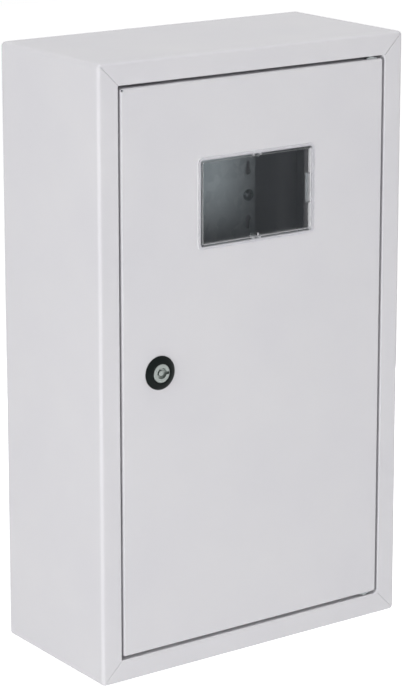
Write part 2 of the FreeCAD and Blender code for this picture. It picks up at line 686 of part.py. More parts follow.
def lock_plug():
    """The turning plug: key post and groove in front, square spindle behind."""
    face = FRONT - PLUG_PROUD
    end = FRONT + LOCK_BARREL_LENGTH
    shoulder = end - PLUG_NECK_LENGTH
    plug = turned([(0, face), (PLUG_RADIUS - PLUG_CHAMFER, face), (PLUG_RADIUS, face + PLUG_CHAMFER),
                   (PLUG_RADIUS, shoulder), (PLUG_NECK_RADIUS, shoulder),
                   (PLUG_NECK_RADIUS, CAM_FRONT), (0, CAM_FRONT)], (LOCK_X, LOCK_Z))
    half = SPINDLE_SQUARE / 2
    plug = plug.fuse(block((LOCK_X - half, LOCK_X + half), (CAM_FRONT, CAM_BACK),
                           (LOCK_Z - half, LOCK_Z + half)))
    groove = disc(KEY_GROOVE_RADIUS, Vector(LOCK_X, face, LOCK_Z), Y_AXIS, KEY_GROOVE_DEPTH)
    post_top = face + KEY_POST_DROP
    post = disc(KEY_POST_RADIUS, Vector(LOCK_X, post_top, LOCK_Z), Y_AXIS, KEY_GROOVE_DEPTH)
    groove = groove.cut(round_edges_at(post, post_top, KEY_POST_ROUND, lambda box: True))
    notch = block((LOCK_X + KEY_POST_RADIUS, LOCK_X + KEY_NOTCH_REACH),
                  (face, face + KEY_GROOVE_DEPTH),
                  (LOCK_Z - KEY_NOTCH_HEIGHT / 2, LOCK_Z + KEY_NOTCH_HEIGHT / 2))
    plug = plug.cut(groove).cut(notch)
    thread = disc(CAM_SCREW_RADIUS, Vector(LOCK_X, CAM_BACK, LOCK_Z), Y_AXIS * -1,
                  CAM_SCREW_LENGTH)
    return plug.cut(thread)


def lock_cam():
    """The flat cam. It hangs down at rest and turns to lie behind the frame's return."""
    half_tip = CAM_TIP_WIDTH / 2
    tip = LOCK_Z - CAM_REACH
    hub = disc(CAM_HUB_RADIUS, Vector(LOCK_X, CAM_FRONT, LOCK_Z), Y_AXIS, CAM_THICKNESS)
    lean = math.asin((CAM_HUB_RADIUS - half_tip) / CAM_REACH)
    shoulder = Vector(CAM_HUB_RADIUS * math.cos(lean), 0, -CAM_HUB_RADIUS * math.sin(lean))
    arm = Part.makePolygon([Vector(LOCK_X + x, CAM_FRONT, z) for x, z in (
        (shoulder.x, LOCK_Z + shoulder.z), (half_tip, tip), (-half_tip, tip),
        (-shoulder.x, LOCK_Z + shoulder.z), (shoulder.x, LOCK_Z + shoulder.z))])
    arm = Part.Face(arm).extrude(Vector(0, CAM_THICKNESS, 0))
    corners = [edge for edge in arm.Edges
               if edge.BoundBox.YLength > CAM_THICKNESS / 2 and edge.BoundBox.ZMax < tip + 1]
    cam = arm.makeFillet(CAM_TIP_RADIUS, corners).fuse(hub).removeSplitter()
    half = SPINDLE_SQUARE / 2 + CAM_HOLE_CLEARANCE
    return cam.cut(block((LOCK_X - half, LOCK_X + half), (CAM_FRONT, CAM_BACK),
                         (LOCK_Z - half, LOCK_Z + half)))


def cam_screw():
    """The flanged screw that holds the cam on the plug's spindle."""
    seat = Vector(LOCK_X, CAM_BACK, LOCK_Z)
    radius = CAM_SCREW_RADIUS - THREAD_CLEARANCE
    shank = disc(radius, seat, Y_AXIS * -1, CAM_SCREW_LENGTH - CAM_SCREW_END_GAP)
    flange = disc(CAM_SCREW_HEAD_RADIUS, seat, Y_AXIS, CAM_SCREW_FLANGE)
    hexagon_head = hexagon(CAM_SCREW_FLATS, seat, Y_AXIS, CAM_SCREW_HEAD_HEIGHT)
    return shank.fuse(flange).fuse(hexagon_head)


def slot(centre, along, length, width, y_range):
    """An oblong cutter through a plate in the XZ plane."""
    half_straight = (length - width) / 2
    ends = [centre + along * half_straight, centre - along * half_straight]
    depth = y_range[1] - y_range[0]
    rounds = [disc(width / 2, Vector(end.x, y_range[0], end.z), Y_AXIS, depth) for end in ends]
    across = Vector(along.z, 0, along.x) * (width / 2)
    corners = [ends[0] + across, ends[0] - across, ends[1] - across, ends[1] + across]
    corners = [Vector(corner.x, y_range[0], corner.z) for corner in corners]
    straight = Part.Face(Part.makePolygon(corners + corners[:1])).extrude(Vector(0, depth, 0))
    return rounds[0].fuse(rounds[1]).fuse(straight)


def keyhole(x, z, upward):
    """A keyhole cutter: a round mouth and a narrow slot pointing up or down."""
    y_range = (PLATE_FRONT, PLATE_BACK)
    mouth = disc(KEYHOLE_RADIUS, Vector(x, PLATE_FRONT, z), Y_AXIS, PLATE_THICKNESS)
    length = KEYHOLE_LENGTH - KEYHOLE_RADIUS
    centre = Vector(x, PLATE_FRONT, z + upward * length / 2)
    return mouth.fuse(slot(centre, Z_AXIS, length, KEYHOLE_SLOT_WIDTH, y_range))


def meter_plate():
    """The plate that a meter screws to, with keyholes beside its fixing screws."""
    y_range = (PLATE_FRONT, PLATE_BACK)
    plate = slab(PLATE_WIDTH / 2, PLATE_HEIGHT / 2, y_range, PLATE_CORNER, (0, PLATE_Z))
    for x in (-PLATE_HOLE_X, PLATE_HOLE_X):
        for z in PLATE_SCREW_Z:
            hole = disc(SCREW_RADIUS + HOLE_CLEARANCE, Vector(x, PLATE_FRONT, z), Y_AXIS,
                        PLATE_THICKNESS)
            plate = plate.cut(hole)
            plate = plate.cut(keyhole(x, z + KEYHOLE_PITCH, 1))
            plate = plate.cut(keyhole(x, z - KEYHOLE_PITCH, -1))
    top = Vector(0, 0, PLATE_Z + METER_TOP_SLOT_RISE)
    plate = plate.cut(slot(top, Z_AXIS, METER_TOP_SLOT_LENGTH, METER_SLOT_WIDTH, y_range))
    for x in (-METER_LOWER_SLOT_X, METER_LOWER_SLOT_X):
        lower = Vector(x, 0, PLATE_Z - METER_LOWER_SLOT_DROP)
        plate = plate.cut(slot(lower, X_AXIS, METER_LOWER_SLOT_LENGTH, METER_SLOT_WIDTH, y_range))
    return plate


def plate_bracket(side, z):
    """A Z-section bracket between the back panel and the meter plate."""
    half = BRACKET_SHEET / 2
    seat_y = PLATE_BACK + half
    foot_y = BACK_FACE - half
    web_x = PLATE_HOLE_X + BRACKET_SEAT / 2
    path = [(side * (PLATE_HOLE_X - BRACKET_SEAT / 2), seat_y), (side * web_x, seat_y),
            (side * web_x, foot_y), (side * (web_x + BRACKET_FOOT), foot_y)]
    low = z - BRACKET_LENGTH / 2
    bracket = folded_sheet(path, BRACKET_SHEET, BRACKET_BEND,
                           lambda u, v: Vector(u, v, low), Vector(0, 0, BRACKET_LENGTH))
    start = Vector(side * PLATE_HOLE_X, PLATE_BACK, z)
    return bracket.cut(disc(SCREW_RADIUS + THREAD_CLEARANCE, start, Y_AXIS, BRACKET_SHEET))


def plate_screws():
    """The four screws that hold the meter plate to its brackets."""
    screws = []
    for x in (-PLATE_HOLE_X, PLATE_HOLE_X):
        for z in PLATE_SCREW_Z:
            screws.append(pan_screw(Vector(x, PLATE_FRONT, z), Y_AXIS))
    return group(screws)


def din_rail():
    """The top-hat rail for modular devices, slotted along its web."""
    half = RAIL_SHEET / 2
    rim_y = -RAIL_FACE + half
    web_y = RAIL_BACK - half
    web_z = RAIL_WEB / 2 - half
    path = [(rim_y, -RAIL_WIDTH / 2), (rim_y, -web_z), (web_y, -web_z),
            (web_y, web_z), (rim_y, web_z), (rim_y, RAIL_WIDTH / 2)]
    rail = folded_sheet(path, RAIL_SHEET, RAIL_BEND,
                        lambda u, v: Vector(-RAIL_HALF_LENGTH, u, RAIL_Z + v),
                        Vector(2 * RAIL_HALF_LENGTH, 0, 0))
    y_range = (RAIL_BACK - RAIL_SHEET, RAIL_BACK)
    count = int((RAIL_BRACKET_X - RAIL_SLOT_LENGTH) / RAIL_SLOT_PITCH)
    for index in range(-count, count + 1):
        centre = Vector(index * RAIL_SLOT_PITCH, 0, RAIL_Z)
        rail = rail.cut(slot(centre, X_AXIS, RAIL_SLOT_LENGTH, RAIL_SLOT_WIDTH, y_range))
    for x in (-RAIL_BRACKET_X, RAIL_BRACKET_X):
        rail = rail.cut(disc(SCREW_RADIUS + HOLE_CLEARANCE, Vector(x, y_range[0], RAIL_Z),
                             Y_AXIS, RAIL_SHEET))
    return rail


def rail_bracket(side):
    """A Z-section bracket that carries one end of the device rail."""
    half = BRACKET_SHEET / 2
    seat_y = RAIL_BACK + half
    foot_y = BACK_FACE - half
    web_x = RAIL_BRACKET_X + RAIL_BRACKET_SEAT / 2
    path = [(side * (RAIL_BRACKET_X - RAIL_BRACKET_SEAT / 2), seat_y), (side * web_x, seat_y),
            (side * web_x, foot_y), (side * (web_x + RAIL_BRACKET_FOOT), foot_y)]
    low = RAIL_Z - RAIL_BRACKET_LENGTH / 2
    bracket = folded_sheet(path, BRACKET_SHEET, BRACKET_BEND,
                           lambda u, v: Vector(u, v, low), Vector(0, 0, RAIL_BRACKET_LENGTH))
    start = Vector(side * RAIL_BRACKET_X, RAIL_BACK, RAIL_Z)
    return bracket.cut(disc(SCREW_RADIUS + THREAD_CLEARANCE, start, Y_AXIS, BRACKET_SHEET))


def rail_screws():
    """The two screws that hold the rail to its brackets."""
    seat_y = RAIL_BACK - RAIL_SHEET
    return group([pan_screw(Vector(x, seat_y, RAIL_Z), Y_AXIS)
                  for x in (-RAIL_BRACKET_X, RAIL_BRACKET_X)])


def bar_terminal_x(centre_x):
    """The places of a bar's terminals along X."""
    first = centre_x - (BAR_TERMINALS - 1) * BAR_PITCH / 2
    return [first + index * BAR_PITCH for index in range(BAR_TERMINALS)]


def terminal_bar(centre_x):
    """A brass bar, cross-drilled for its wires and tapped for its screws."""
    front = BAR_BACK - BAR_DEPTH
    bar = block((centre_x - BAR_LENGTH / 2, centre_x + BAR_LENGTH / 2), (front, BAR_BACK),
                (BAR_Z - BAR_HEIGHT / 2, BAR_Z + BAR_HEIGHT / 2))
    wire_y = BAR_BACK - BAR_DEPTH / 2
    for x in bar_terminal_x(centre_x):
        low = Vector(x, wire_y, BAR_Z - BAR_HEIGHT / 2)
        bar = bar.cut(disc(BAR_WIRE_RADIUS, low, Z_AXIS, BAR_HEIGHT))
        mouth = Vector(x, front, BAR_Z)
        bar = bar.cut(disc(BAR_SCREW_RADIUS, mouth, Y_AXIS, BAR_DEPTH / 2))
    return bar


def terminal_screws(centre_x):
    """The slotted clamping screws of one bar."""
    front = BAR_BACK - BAR_DEPTH
    screws = []
    for x in bar_terminal_x(centre_x):
        seat = Vector(x, front, BAR_Z)
        head = disc(BAR_SCREW_HEAD_RADIUS, seat, Y_AXIS * -1, BAR_SCREW_HEAD_HEIGHT)
        shank = disc(BAR_SCREW_RADIUS - THREAD_CLEARANCE, seat, Y_AXIS,
                     BAR_DEPTH / 2 - BAR_WIRE_RADIUS)
        driver = block((x - BAR_SCREW_HEAD_RADIUS, x + BAR_SCREW_HEAD_RADIUS),
                       (front - BAR_SCREW_HEAD_HEIGHT, front - BAR_SCREW_HEAD_HEIGHT / 2),
                       (BAR_Z - BAR_SCREW_SLOT / 2, BAR_Z + BAR_SCREW_SLOT / 2))
        screws.append(head.cut(driver).fuse(shank))
    return group(screws)


def bar_holder(x):
    """An insulating stand-off that grips one end of a bar in an open jaw."""
    half_x = HOLDER_WIDTH / 2
    foot = slab(half_x, HOLDER_FOOT_LENGTH / 2, (BACK_FACE - HOLDER_FOOT, BACK_FACE),
                HOLDER_FOOT_CORNER, (x, BAR_Z))
    jaw_front = BAR_BACK - HOLDER_JAW_DEPTH
    pillar = block((x - half_x, x + half_x), (jaw_front, BACK_FACE),
                   (BAR_Z - HOLDER_HEIGHT / 2, BAR_Z + HOLDER_HEIGHT / 2))
    seat = block((x - half_x, x + half_x), (jaw_front, BAR_BACK),
                 (BAR_Z - BAR_HEIGHT / 2, BAR_Z + BAR_HEIGHT / 2))
    holder = foot.fuse(pillar).removeSplitter().cut(seat)
    for z in HOLDER_SCREW_Z:
        start = Vector(x, BACK_FACE - HOLDER_FOOT, z)
        holder = holder.cut(disc(SCREW_RADIUS + HOLE_CLEARANCE, start, Y_AXIS, HOLDER_FOOT))
    return holder


def bar_holder_x(centre_x):
    """The two places along a bar where its holders grip it."""
    reach = BAR_LENGTH / 2 - HOLDER_INSET
    return (centre_x - reach, centre_x + reach)


def bar_holders(centre_x):
    """The pair of holders under one bar."""
    return group([bar_holder(x) for x in bar_holder_x(centre_x)])


def holder_screw_places():
    """Where the holders' screws go into the back panel."""
    return [(x, z) for centre_x in (-BAR_OFFSET, BAR_OFFSET)
            for x in bar_holder_x(centre_x) for z in HOLDER_SCREW_Z]


def holder_screws():
    """The screws that hold the four bar holders, ending flush with the wall side."""
    seat_y = BACK_FACE - HOLDER_FOOT
    return group([pan_screw(Vector(x, seat_y, z), Y_AXIS, HOLDER_FOOT + SHEET, washer=False)
                  for x, z in holder_screw_places()])


def stud(point, radius, length, direction):
    """A welded stud with the small flare its weld leaves."""
    flare = disc(radius + STUD_FLARE_RADIUS - STUD_RADIUS, point, direction, STUD_FLARE_HEIGHT)
    shaft = disc(radius, point, direction, length)
    tip = [edge for edge in shaft.Edges if edge.Closed
           and (edge.CenterOfMass - point).Length > length / 2]
    return shaft.makeChamfer(STUD_TIP_CHAMFER, tip).fuse(flare)


def stud_nut(point, radius, flats, thickness, direction):
    """A plain washer and a hexagon nut near a stud's root."""
    seat = point + direction * STUD_FLARE_HEIGHT
    bore = radius + THREAD_CLEARANCE
    washer_radius = STUD_WASHER_RADIUS + radius - STUD_RADIUS
    washer = disc(washer_radius, seat, direction, STUD_WASHER_THICKNESS)
    washer = washer.cut(disc(bore, seat, direction, STUD_WASHER_THICKNESS))
    top = seat + direction * STUD_WASHER_THICKNESS
    nut = hexagon(flats, top, direction, thickness).cut(disc(bore, top, direction, thickness))
    return group([washer, nut])


def cable_grommet(x, radius):
    """A rubber grommet: a groove for the sheet and a stepped blind membrane."""
    outer = radius + GROMMET_LIP
    neck = radius - GROMMET_CLEARANCE
    bottom = -HALF_HEIGHT - GROMMET_LIP_THICKNESS
    inner_top = -HALF_HEIGHT + SHEET + GROMMET_INNER_THICKNESS
    profile = [(0, bottom + GROMMET_MEMBRANE), (0, bottom), (outer - GROMMET_EDGE, bottom),
               (outer, bottom + GROMMET_EDGE), (outer, -HALF_HEIGHT), (neck, -HALF_HEIGHT),
               (neck, -HALF_HEIGHT + SHEET), (radius + GROMMET_LIP / 2, -HALF_HEIGHT + SHEET),
               (neck, inner_top), (radius - GROMMET_WALL, inner_top),
               (radius - GROMMET_STEP, bottom + GROMMET_MEMBRANE + GROMMET_STEP_RISE),
               (radius - GROMMET_STEP - GROMMET_STEP_SLOPE, bottom + GROMMET_MEMBRANE)]
    points = [Vector(x + r, -GROMMET_SETBACK, z) for r, z in profile]
    face = Part.Face(Part.makePolygon(points + points[:1]))
    return face.revolve(Vector(x, -GROMMET_SETBACK, 0), Z_AXIS, 360)


def all_nodes():
    """Every node's name and shape."""
    body_stud = Vector(BODY_STUD[0], BACK_FACE, BODY_STUD[1])
    door_stud = Vector(DOOR_STUD[0], DOOR_BACK, DOOR_STUD[1])
    nodes = body_sides()
    nodes.update({
        "back_panel": back_panel(),
        "door_leaf": door_leaf(),
        "window_insert": window_insert(),
        "hinge_washers": hinge_washers(),
        "lock_housing": lock_housing(),
        "lock_nut": lock_nut(),
        "lock_plug": lock_plug(),
        "lock_cam": lock_cam(),
        "cam_screw": cam_screw(),
        "meter_plate": meter_plate(),
        "meter_plate_screws": plate_screws(),
        "din_rail": din_rail(),
        "din_rail_screws": rail_screws(),
        "neutral_bar": terminal_bar(-BAR_OFFSET),
        "neutral_bar_screws": terminal_screws(-BAR_OFFSET),
        "neutral_bar_holders": bar_holders(-BAR_OFFSET),
        "earth_bar": terminal_bar(BAR_OFFSET),
        "earth_bar_screws": terminal_screws(BAR_OFFSET),
        "earth_bar_holders": bar_holders(BAR_OFFSET),
        "bar_holder_screws": holder_screws(),
        "body_earth_stud": stud(body_stud, STUD_RADIUS, STUD_LENGTH, Y_AXIS * -1),
        "body_earth_nut": stud_nut(body_stud, STUD_RADIUS, STUD_NUT_FLATS,
                                   STUD_NUT_THICKNESS, Y_AXIS * -1),
        "door_earth_stud": stud(door_stud, DOOR_STUD_RADIUS, DOOR_STUD_LENGTH, Y_AXIS),
        "door_earth_nut": stud_nut(door_stud, DOOR_STUD_RADIUS, DOOR_STUD_NUT_FLATS,
                                   DOOR_STUD_NUT_THICKNESS, Y_AXIS),
    })
    for name, side in (("upper", 1), ("lower", -1)):
        nodes[name + "_hinge_bracket"] = hinge_bracket(side)
        nodes[name + "_hinge_pin"] = hinge_pin(side)
        nodes[name + "_hinge_plate"] = hinge_plate(side)
    for name, side in (("left", -1), ("right", 1)):
        nodes["lower_%s_plate_bracket" % name] = plate_bracket(side, PLATE_SCREW_Z[0])
        nodes["upper_%s_plate_bracket" % name] = plate_bracket(side, PLATE_SCREW_Z[1])
        nodes["%s_rail_bracket" % name] = rail_bracket(side)
    for name, (x, radius) in GROMMETS.items():
        nodes[name] = cable_grommet(x, radius)
    return nodes


def main():
    os.makedirs("parts", exist_ok=True)
    for name, shape in all_nodes().items():
        if not shape.isValid():
            raise RuntimeError(name + " is not a valid solid")
        shape.exportStep("parts/" + name + ".step")
        print(name, len(shape.Solids), round(shape.Volume, 1))


main()
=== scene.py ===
"""A light-grey sheet-steel wall enclosure with a hinged door, a quarter-turn lock and a clear window.

The packed frame holds every rigid piece. This file gives them their finishes, cuts the threads of
the welded studs, adds the weld spots, and sets up the studio and the camera.
"""

import math

import bmesh
import bpy
from bpy.props import FloatProperty, FloatVectorProperty, IntProperty, PointerProperty
from mathutils import Matrix, Vector


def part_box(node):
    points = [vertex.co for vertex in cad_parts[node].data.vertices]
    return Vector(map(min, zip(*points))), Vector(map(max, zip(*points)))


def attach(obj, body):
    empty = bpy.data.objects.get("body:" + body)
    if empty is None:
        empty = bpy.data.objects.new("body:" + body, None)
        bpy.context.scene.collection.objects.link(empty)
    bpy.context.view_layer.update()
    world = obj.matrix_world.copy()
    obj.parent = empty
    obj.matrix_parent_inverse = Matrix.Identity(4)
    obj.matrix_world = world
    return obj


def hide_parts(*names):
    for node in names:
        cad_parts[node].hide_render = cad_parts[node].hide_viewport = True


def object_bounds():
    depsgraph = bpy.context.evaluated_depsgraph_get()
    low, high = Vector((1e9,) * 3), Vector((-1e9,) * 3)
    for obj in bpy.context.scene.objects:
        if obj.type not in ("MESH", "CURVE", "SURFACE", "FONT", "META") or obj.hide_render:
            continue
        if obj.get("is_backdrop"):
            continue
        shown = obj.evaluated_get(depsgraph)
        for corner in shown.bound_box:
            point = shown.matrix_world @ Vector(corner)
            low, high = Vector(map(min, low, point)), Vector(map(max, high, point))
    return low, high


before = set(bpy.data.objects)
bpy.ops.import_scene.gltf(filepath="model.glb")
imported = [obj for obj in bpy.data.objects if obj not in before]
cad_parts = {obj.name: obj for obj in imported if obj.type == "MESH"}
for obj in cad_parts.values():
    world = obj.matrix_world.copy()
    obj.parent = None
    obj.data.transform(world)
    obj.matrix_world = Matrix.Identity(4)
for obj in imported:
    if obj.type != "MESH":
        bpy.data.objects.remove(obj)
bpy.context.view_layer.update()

bl_info = {
    "name": "Steel Wall Enclosure",
    "version": (1, 0, 0),
    "blender": (4, 5, 0),
    "location": "3D View > Sidebar > Enclosure",
    "description": "Finishes a sheet-steel meter cabinet and sets up its studio",
    "category": "Object",
}

MM = 0.001
TAU = 2 * math.pi

BODY_SIDES = ["body_left_side", "body_right_side", "body_top", "body_bottom"]
PLATE_BRACKETS = [f"{level}_{side}_plate_bracket" for level in ("lower", "upper")
                  for side in ("left", "right")]
RAIL_BRACKETS = [f"{side}_rail_bracket" for side in ("left", "right")]
GROMMETS = [f"{side}_cable_grommet" for side in ("left", "middle", "right")]
HINGE_PARTS = [f"{level}_hinge_{part}" for level in ("upper", "lower") for part in ("pin", "plate")]

# The range in which most of a noise's values lie
NOISE_SPREAD = {"From Min": 0.3, "From Max": 0.7}
# The length of one wave of a wave texture, where its scale is 1
WAVE_LENGTH = TAU / 20
# How far a normal leans along the depth: more on a face along the door, less on a side wall
FLAT_LEAN = 0.3
UPRIGHT_LEAN = 0.1
# A metric thread's depth and flat crest, as shares of its pitch, and the rings in one of its turns
THREAD_DEPTH = 0.61
THREAD_CREST = 0.2
RINGS_PER_TURN = 8
# A spot weld's rings from its edge inward, as shares of its radius and its rim's height, then the
# height of its middle and the points in one ring
WELD_PROFILE = ((1.0, 0.0), (0.86, 1.0), (0.7, 0.55), (0.4, 0.2))
WELD_MIDDLE = 0.12
WELD_SEGMENTS = 24
# Edges that turn by more than this stay sharp
CREASE = math.radians(35)


def srgb(code):
    """A hex colour as linear red, green, blue and alpha."""
    channels = [int(code[index:index + 2], 16) / 255 for index in (0, 2, 4)]
    return tuple(c / 12.92 if c <= 0.04045 else ((c + 0.055) / 1.055) ** 2.4 for c in channels) + (1.0,)


def colour(name, description, code):
    """A colour setting with its default as a hex value."""
    return FloatVectorProperty(name=name, description=description, subtype="COLOR", size=4,
                               min=0.0, max=1.0, default=srgb(code))


def length(name, description, millimetres):
    """A length setting, given in millimetres and kept in metres."""
    return FloatProperty(name=name, description=description, unit="LENGTH", subtype="DISTANCE",
                         min=0.0, precision=5, default=millimetres * MM)


def point(name, description, x, y, z):
    """A point's setting, given in metres."""
    return FloatVectorProperty(name=name, description=description, unit="LENGTH", subtype="TRANSLATION",
                               size=3, precision=4, default=(x, y, z))


def angle(name, description, radians):
    """An angle's setting."""
    return FloatProperty(name=name, description=description, unit="ROTATION", subtype="ANGLE",
                         default=radians)


def share(name, description, value):
    """A setting from 0 to 1."""
    return FloatProperty(name=name, description=description, subtype="FACTOR",
                         min=0.0, max=1.0, default=value)


def power(name, description, watts):
    """A light's power setting."""
    return FloatProperty(name=name, description=description, unit="POWER", min=0.0, default=watts)


class PaintSettings(bpy.types.PropertyGroup):
    """The powder coat"""

    coat: colour("Coat", "Colour of the powder coat", "D5D4D7")
    shade: colour("Shade", "Colour where the coat lies a little thicker", "D2D1D5")
    peel: length("Orange peel", "Width of one ripple of the coat", 3.2)
    grain: length("Grain", "Width of one grain of the powder's fine texture", 0.9)
    sheet_wave: length("Sheet wave", "Length of the shallow waves in the pressed sheet", 150.0)
    thick_patch: length("Thick patches", "Width of one patch where the coat lies thicker", 75.0)


class WindowSettings(bpy.types.PropertyGroup):
    """The moulded window insert"""

    clear: colour("Clear plastic", "Tint of the moulded polycarbonate", "FAFAFB")
    flange_light: colour("Flange light", "Tint of the light that passes a face of the flange", "FCFCFD")
    pane_light: colour("Pane light", "Tint of the light that passes a face of the pane at a slant", "E8EEF0")
    milky: colour("Milky faces", "Colour of the finely grained faces", "FBFBFD")
    milky_light: share("Milky light", "Share of the light on a milky face that shines through", 0.4)
    flange: length("Flange", "Width of the flange and the outer half of the wall behind it", 3.6)
    rim: length("Rim", "Width of the flange and the whole wall behind it", 4.6)
    wall_grain: share("Wall grain", "Milky share of the side walls", 0.35)
    hidden_grain: share("Hidden grain", "Milky share of the flange's hidden faces", 0.92)
    flow: length("Flow lines", "Spacing of the moulding's faint flow lines", 14.0)


class LockSettings(bpy.types.PropertyGroup):
    """The quarter-turn lock"""

    polyamide: colour("Housing", "Colour of the black polyamide", "080F0E")
    nickel: colour("Plug", "Colour of the nickel plating", "9DA3A0")
    spark: length("Spark texture", "Grain of the mould's spark-eroded face", 0.6)
    pitch: length("Thread", "Pitch of the housing's thread behind the door", 1.5)
    thread: length("Thread depth", "Depth of the housing's thread", 0.8)
    ring: length("Turned rings", "Spacing of the turned rings on the plug", 0.7)
    cast: length("Casting grain", "Width of one unevenness of the casting", 2.0)


class MetalSettings(bpy.types.PropertyGroup):
    """The plated, galvanised and bare metals"""

    zinc: colour("Zinc", "Colour of the bright zinc plating", "ABB0B3")
    passivated: colour("Passivation", "Colour of the passivated patches", "A3A8A9")
    passivated_patch: length("Passivated patches", "Width of one passivated patch", 9.0)
    rub: length("Rub marks", "Width of one mark that handling leaves on the plating", 1.2)
    galvanised: colour("Galvanised", "Colour of the galvanised sheet", "E2E4E5")
    dark_spangle: colour("Dark spangle", "Colour of the darker zinc crystals", "D1D4D6")
    spangle: length("Spangle", "Width of one crystal of the galvanised coat", 7.0)
    scuff: length("Scuffs", "Width of one scuff on the galvanised sheet", 1.5)
    brass: colour("Brass", "Colour of drawn brass", "D0AE68")
    tarnish: colour("Tarnish", "Colour of the tarnished patches", "A07C42")
    tarnish_patch: length("Tarnish patches", "Width of one tarnished patch on the bars", 11.0)
    streak: length("Drawing streaks", "Width of one streak of the drawn brass", 0.6)
    streak_length: length("Streak length", "Length of one streak of the drawn brass", 7.5)
    copper: colour("Copper", "Colour of the copper flash on the studs", "C98D6C")
    handled_patch: length("Handled patches", "Width of one dull patch on the copper flash", 2.75)


class MouldedSettings(bpy.types.PropertyGroup):
    """The insulating holders and the rubber grommets"""

    blue: colour("Neutral holders", "Colour of the neutral bar's holders", "2F62B5")
    green: colour("Earth holders", "Colour of the earth bar's holders", "3B9150")
    rubber: colour("Rubber", "Colour of the grommets' rubber", "47494C")
    bloom: colour("Bloom", "Colour of the dusty bloom on the rubber", "6A6B6D")
    bloom_patch: length("Bloom patches", "Width of one patch of bloom", 12.0)
    grain: length("Moulded grain", "Grain of the moulded faces", 0.7)


class StudSettings(bpy.types.PropertyGroup):
    """The welded earth studs and the weld spots"""

    body_radius: length("Body stud", "Radius of the stud in the body", 3.0)
    body_pitch: length("Body stud pitch", "Pitch of the body stud's thread", 1.0)
    door_radius: length("Door stud", "Radius of the stud on the door", 2.5)
    door_pitch: length("Door stud pitch", "Pitch of the door stud's thread", 0.8)
    tip: length("Stud tip", "Chamfer at the free end of a stud", 0.8)
    flare: length("Weld flare", "Height of the fillet that the weld leaves round a stud", 0.8)
    segments: IntProperty(name="Segments", description="Faces round one thread", default=40, min=12)
    weld_radius: length("Weld spot", "Radius of a spot weld's crater", 2.6)
    weld_rim: length("Weld rim", "Height of the rim round a spot weld", 0.16)
    weld_inset: length("Weld inset", "Distance of a spot weld from its bracket's outer edge", 7.0)
    bracket: length("Bracket sheet", "Thickness of the brackets' sheet", 1.5)


class StageSettings(bpy.types.PropertyGroup):
    """The studio"""

    floor: colour("Floor", "Colour of the floor", "F7F7F8")
    floor_size: length("Floor size", "Width and depth of the floor", 12000.0)
    drop: length("Floor drop", "How far the floor lies below the hung cabinet", 420.0)
    near_glow: share("Near glow", "Lift of the floor below the cabinet, where its shadow falls", 0.2)
    far_glow: share("Far glow", "Lift that turns the floor white further off", 0.8)
    glow_reach: length("Glow reach", "Distance from the cabinet at which the floor is white", 2400.0)
    world: share("World", "Strength of the light from all round", 0.25)
    left: power("Left light", "Power of the soft light beside the cabinet", 34.5)
    left_size: length("Left light size", "Width of the light beside the cabinet", 1200.0)
    left_place: point("Left light place", "Place of the left light from the middle", -2.5, -0.6, 0.5)
    front: power("Front light", "Power of the soft light that shines through the window", 22.2)
    front_size: length("Front light size", "Width of the light in front", 900.0)
    front_place: point("Front light place", "Place of the front light from the middle", -0.25, -2.4, 0.2)
    top: power("Top light", "Power of the soft light above", 19.5)
    top_size: length("Top light size", "Width of the light above", 1400.0)
    top_place: point("Top light place", "Place of the top light from the middle", 0.1, 0.0, 2.0)
    back: power("Back light", "Power of the soft light behind on the right", 20.0)
    back_size: length("Back light size", "Width of the light behind", 600.0)
    back_place: point("Back light place", "Place of the back light from the middle", 1.6, 1.8, -0.3)
    # The card's colour is a glow, not a lit surface: it paints a grey reflection in the window and other
    # gloss, and lights nothing
    card: colour("Card", "Colour of the dark card that the window mirrors", "74797C")
    card_place: point("Card place", "Place of the dark card's middle", 1.28, -1.838, -0.34)
    card_width: length("Card width", "Width of the dark card", 360.0)
    card_height: length("Card height", "Height of the dark card", 320.0)
    sensor: FloatProperty(name="Sensor", description="Size of the camera's sensor", unit="CAMERA",
                          default=36.0, min=1.0)
    lens: FloatProperty(name="Lens", description="Focal length of the camera", unit="CAMERA",
                        default=134.44, min=1.0)
    look_at: point("Look at", "Point on the camera's axis", -0.0537, -0.145, 0.1305)
    azimuth: angle("Azimuth", "Camera's angle to the left of the door", -0.6205)
    elevation: angle("Elevation", "Camera's angle above the horizon", 0.216)
    distance: length("Distance", "Camera's distance from the point on its axis", 2129.8)
    shift: FloatProperty(name="Shift", description="Camera's upward shift, as a share of the frame's height",
                         default=-0.2)


SETTINGS = {
    "enclosure_paint": PaintSettings,
    "enclosure_window": WindowSettings,
    "enclosure_lock": LockSettings,
    "enclosure_metal": MetalSettings,
    "enclosure_moulded": MouldedSettings,
    "enclosure_stud": StudSettings,
    "enclosure_stage": StageSettings,
}


def centre_of(node):
    """The middle of a CAD node's box."""
    low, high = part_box(node)
    return (low + high) / 2


def add(tree, kind, inputs=(), **settings):
    """Add a node with its settings and links.

    Its inputs come by name or in their order, of those in use. Each is a value, a socket, or a node
    that stands for its first output in use."""
    node = tree.nodes.new(kind)
    for name, value in settings.items():
        setattr(node, name, value)
    if not isinstance(inputs, dict):
        in_use = [index for index, socket in enumerate(node.inputs) if socket.enabled]
        inputs = dict(zip(in_use, inputs))
    for key, value in inputs.items():
        if isinstance(value, bpy.types.Node):
            value = next(output for output in value.outputs if output.enabled)
        if isinstance(value, bpy.types.NodeSocket):
            tree.links.new(value, node.inputs[key])
        else:
            node.inputs[key].default_value = value
    return node


def new_material(name):
    """An empty node material, its tree and the object's own coordinates in metres."""
    material = bpy.data.materials.new(name)
    material.use_nodes = True
    tree = material.node_tree
    tree.nodes.clear()
    place = add(tree, "ShaderNodeTexCoord").outputs["Object"]
    return material, tree, place


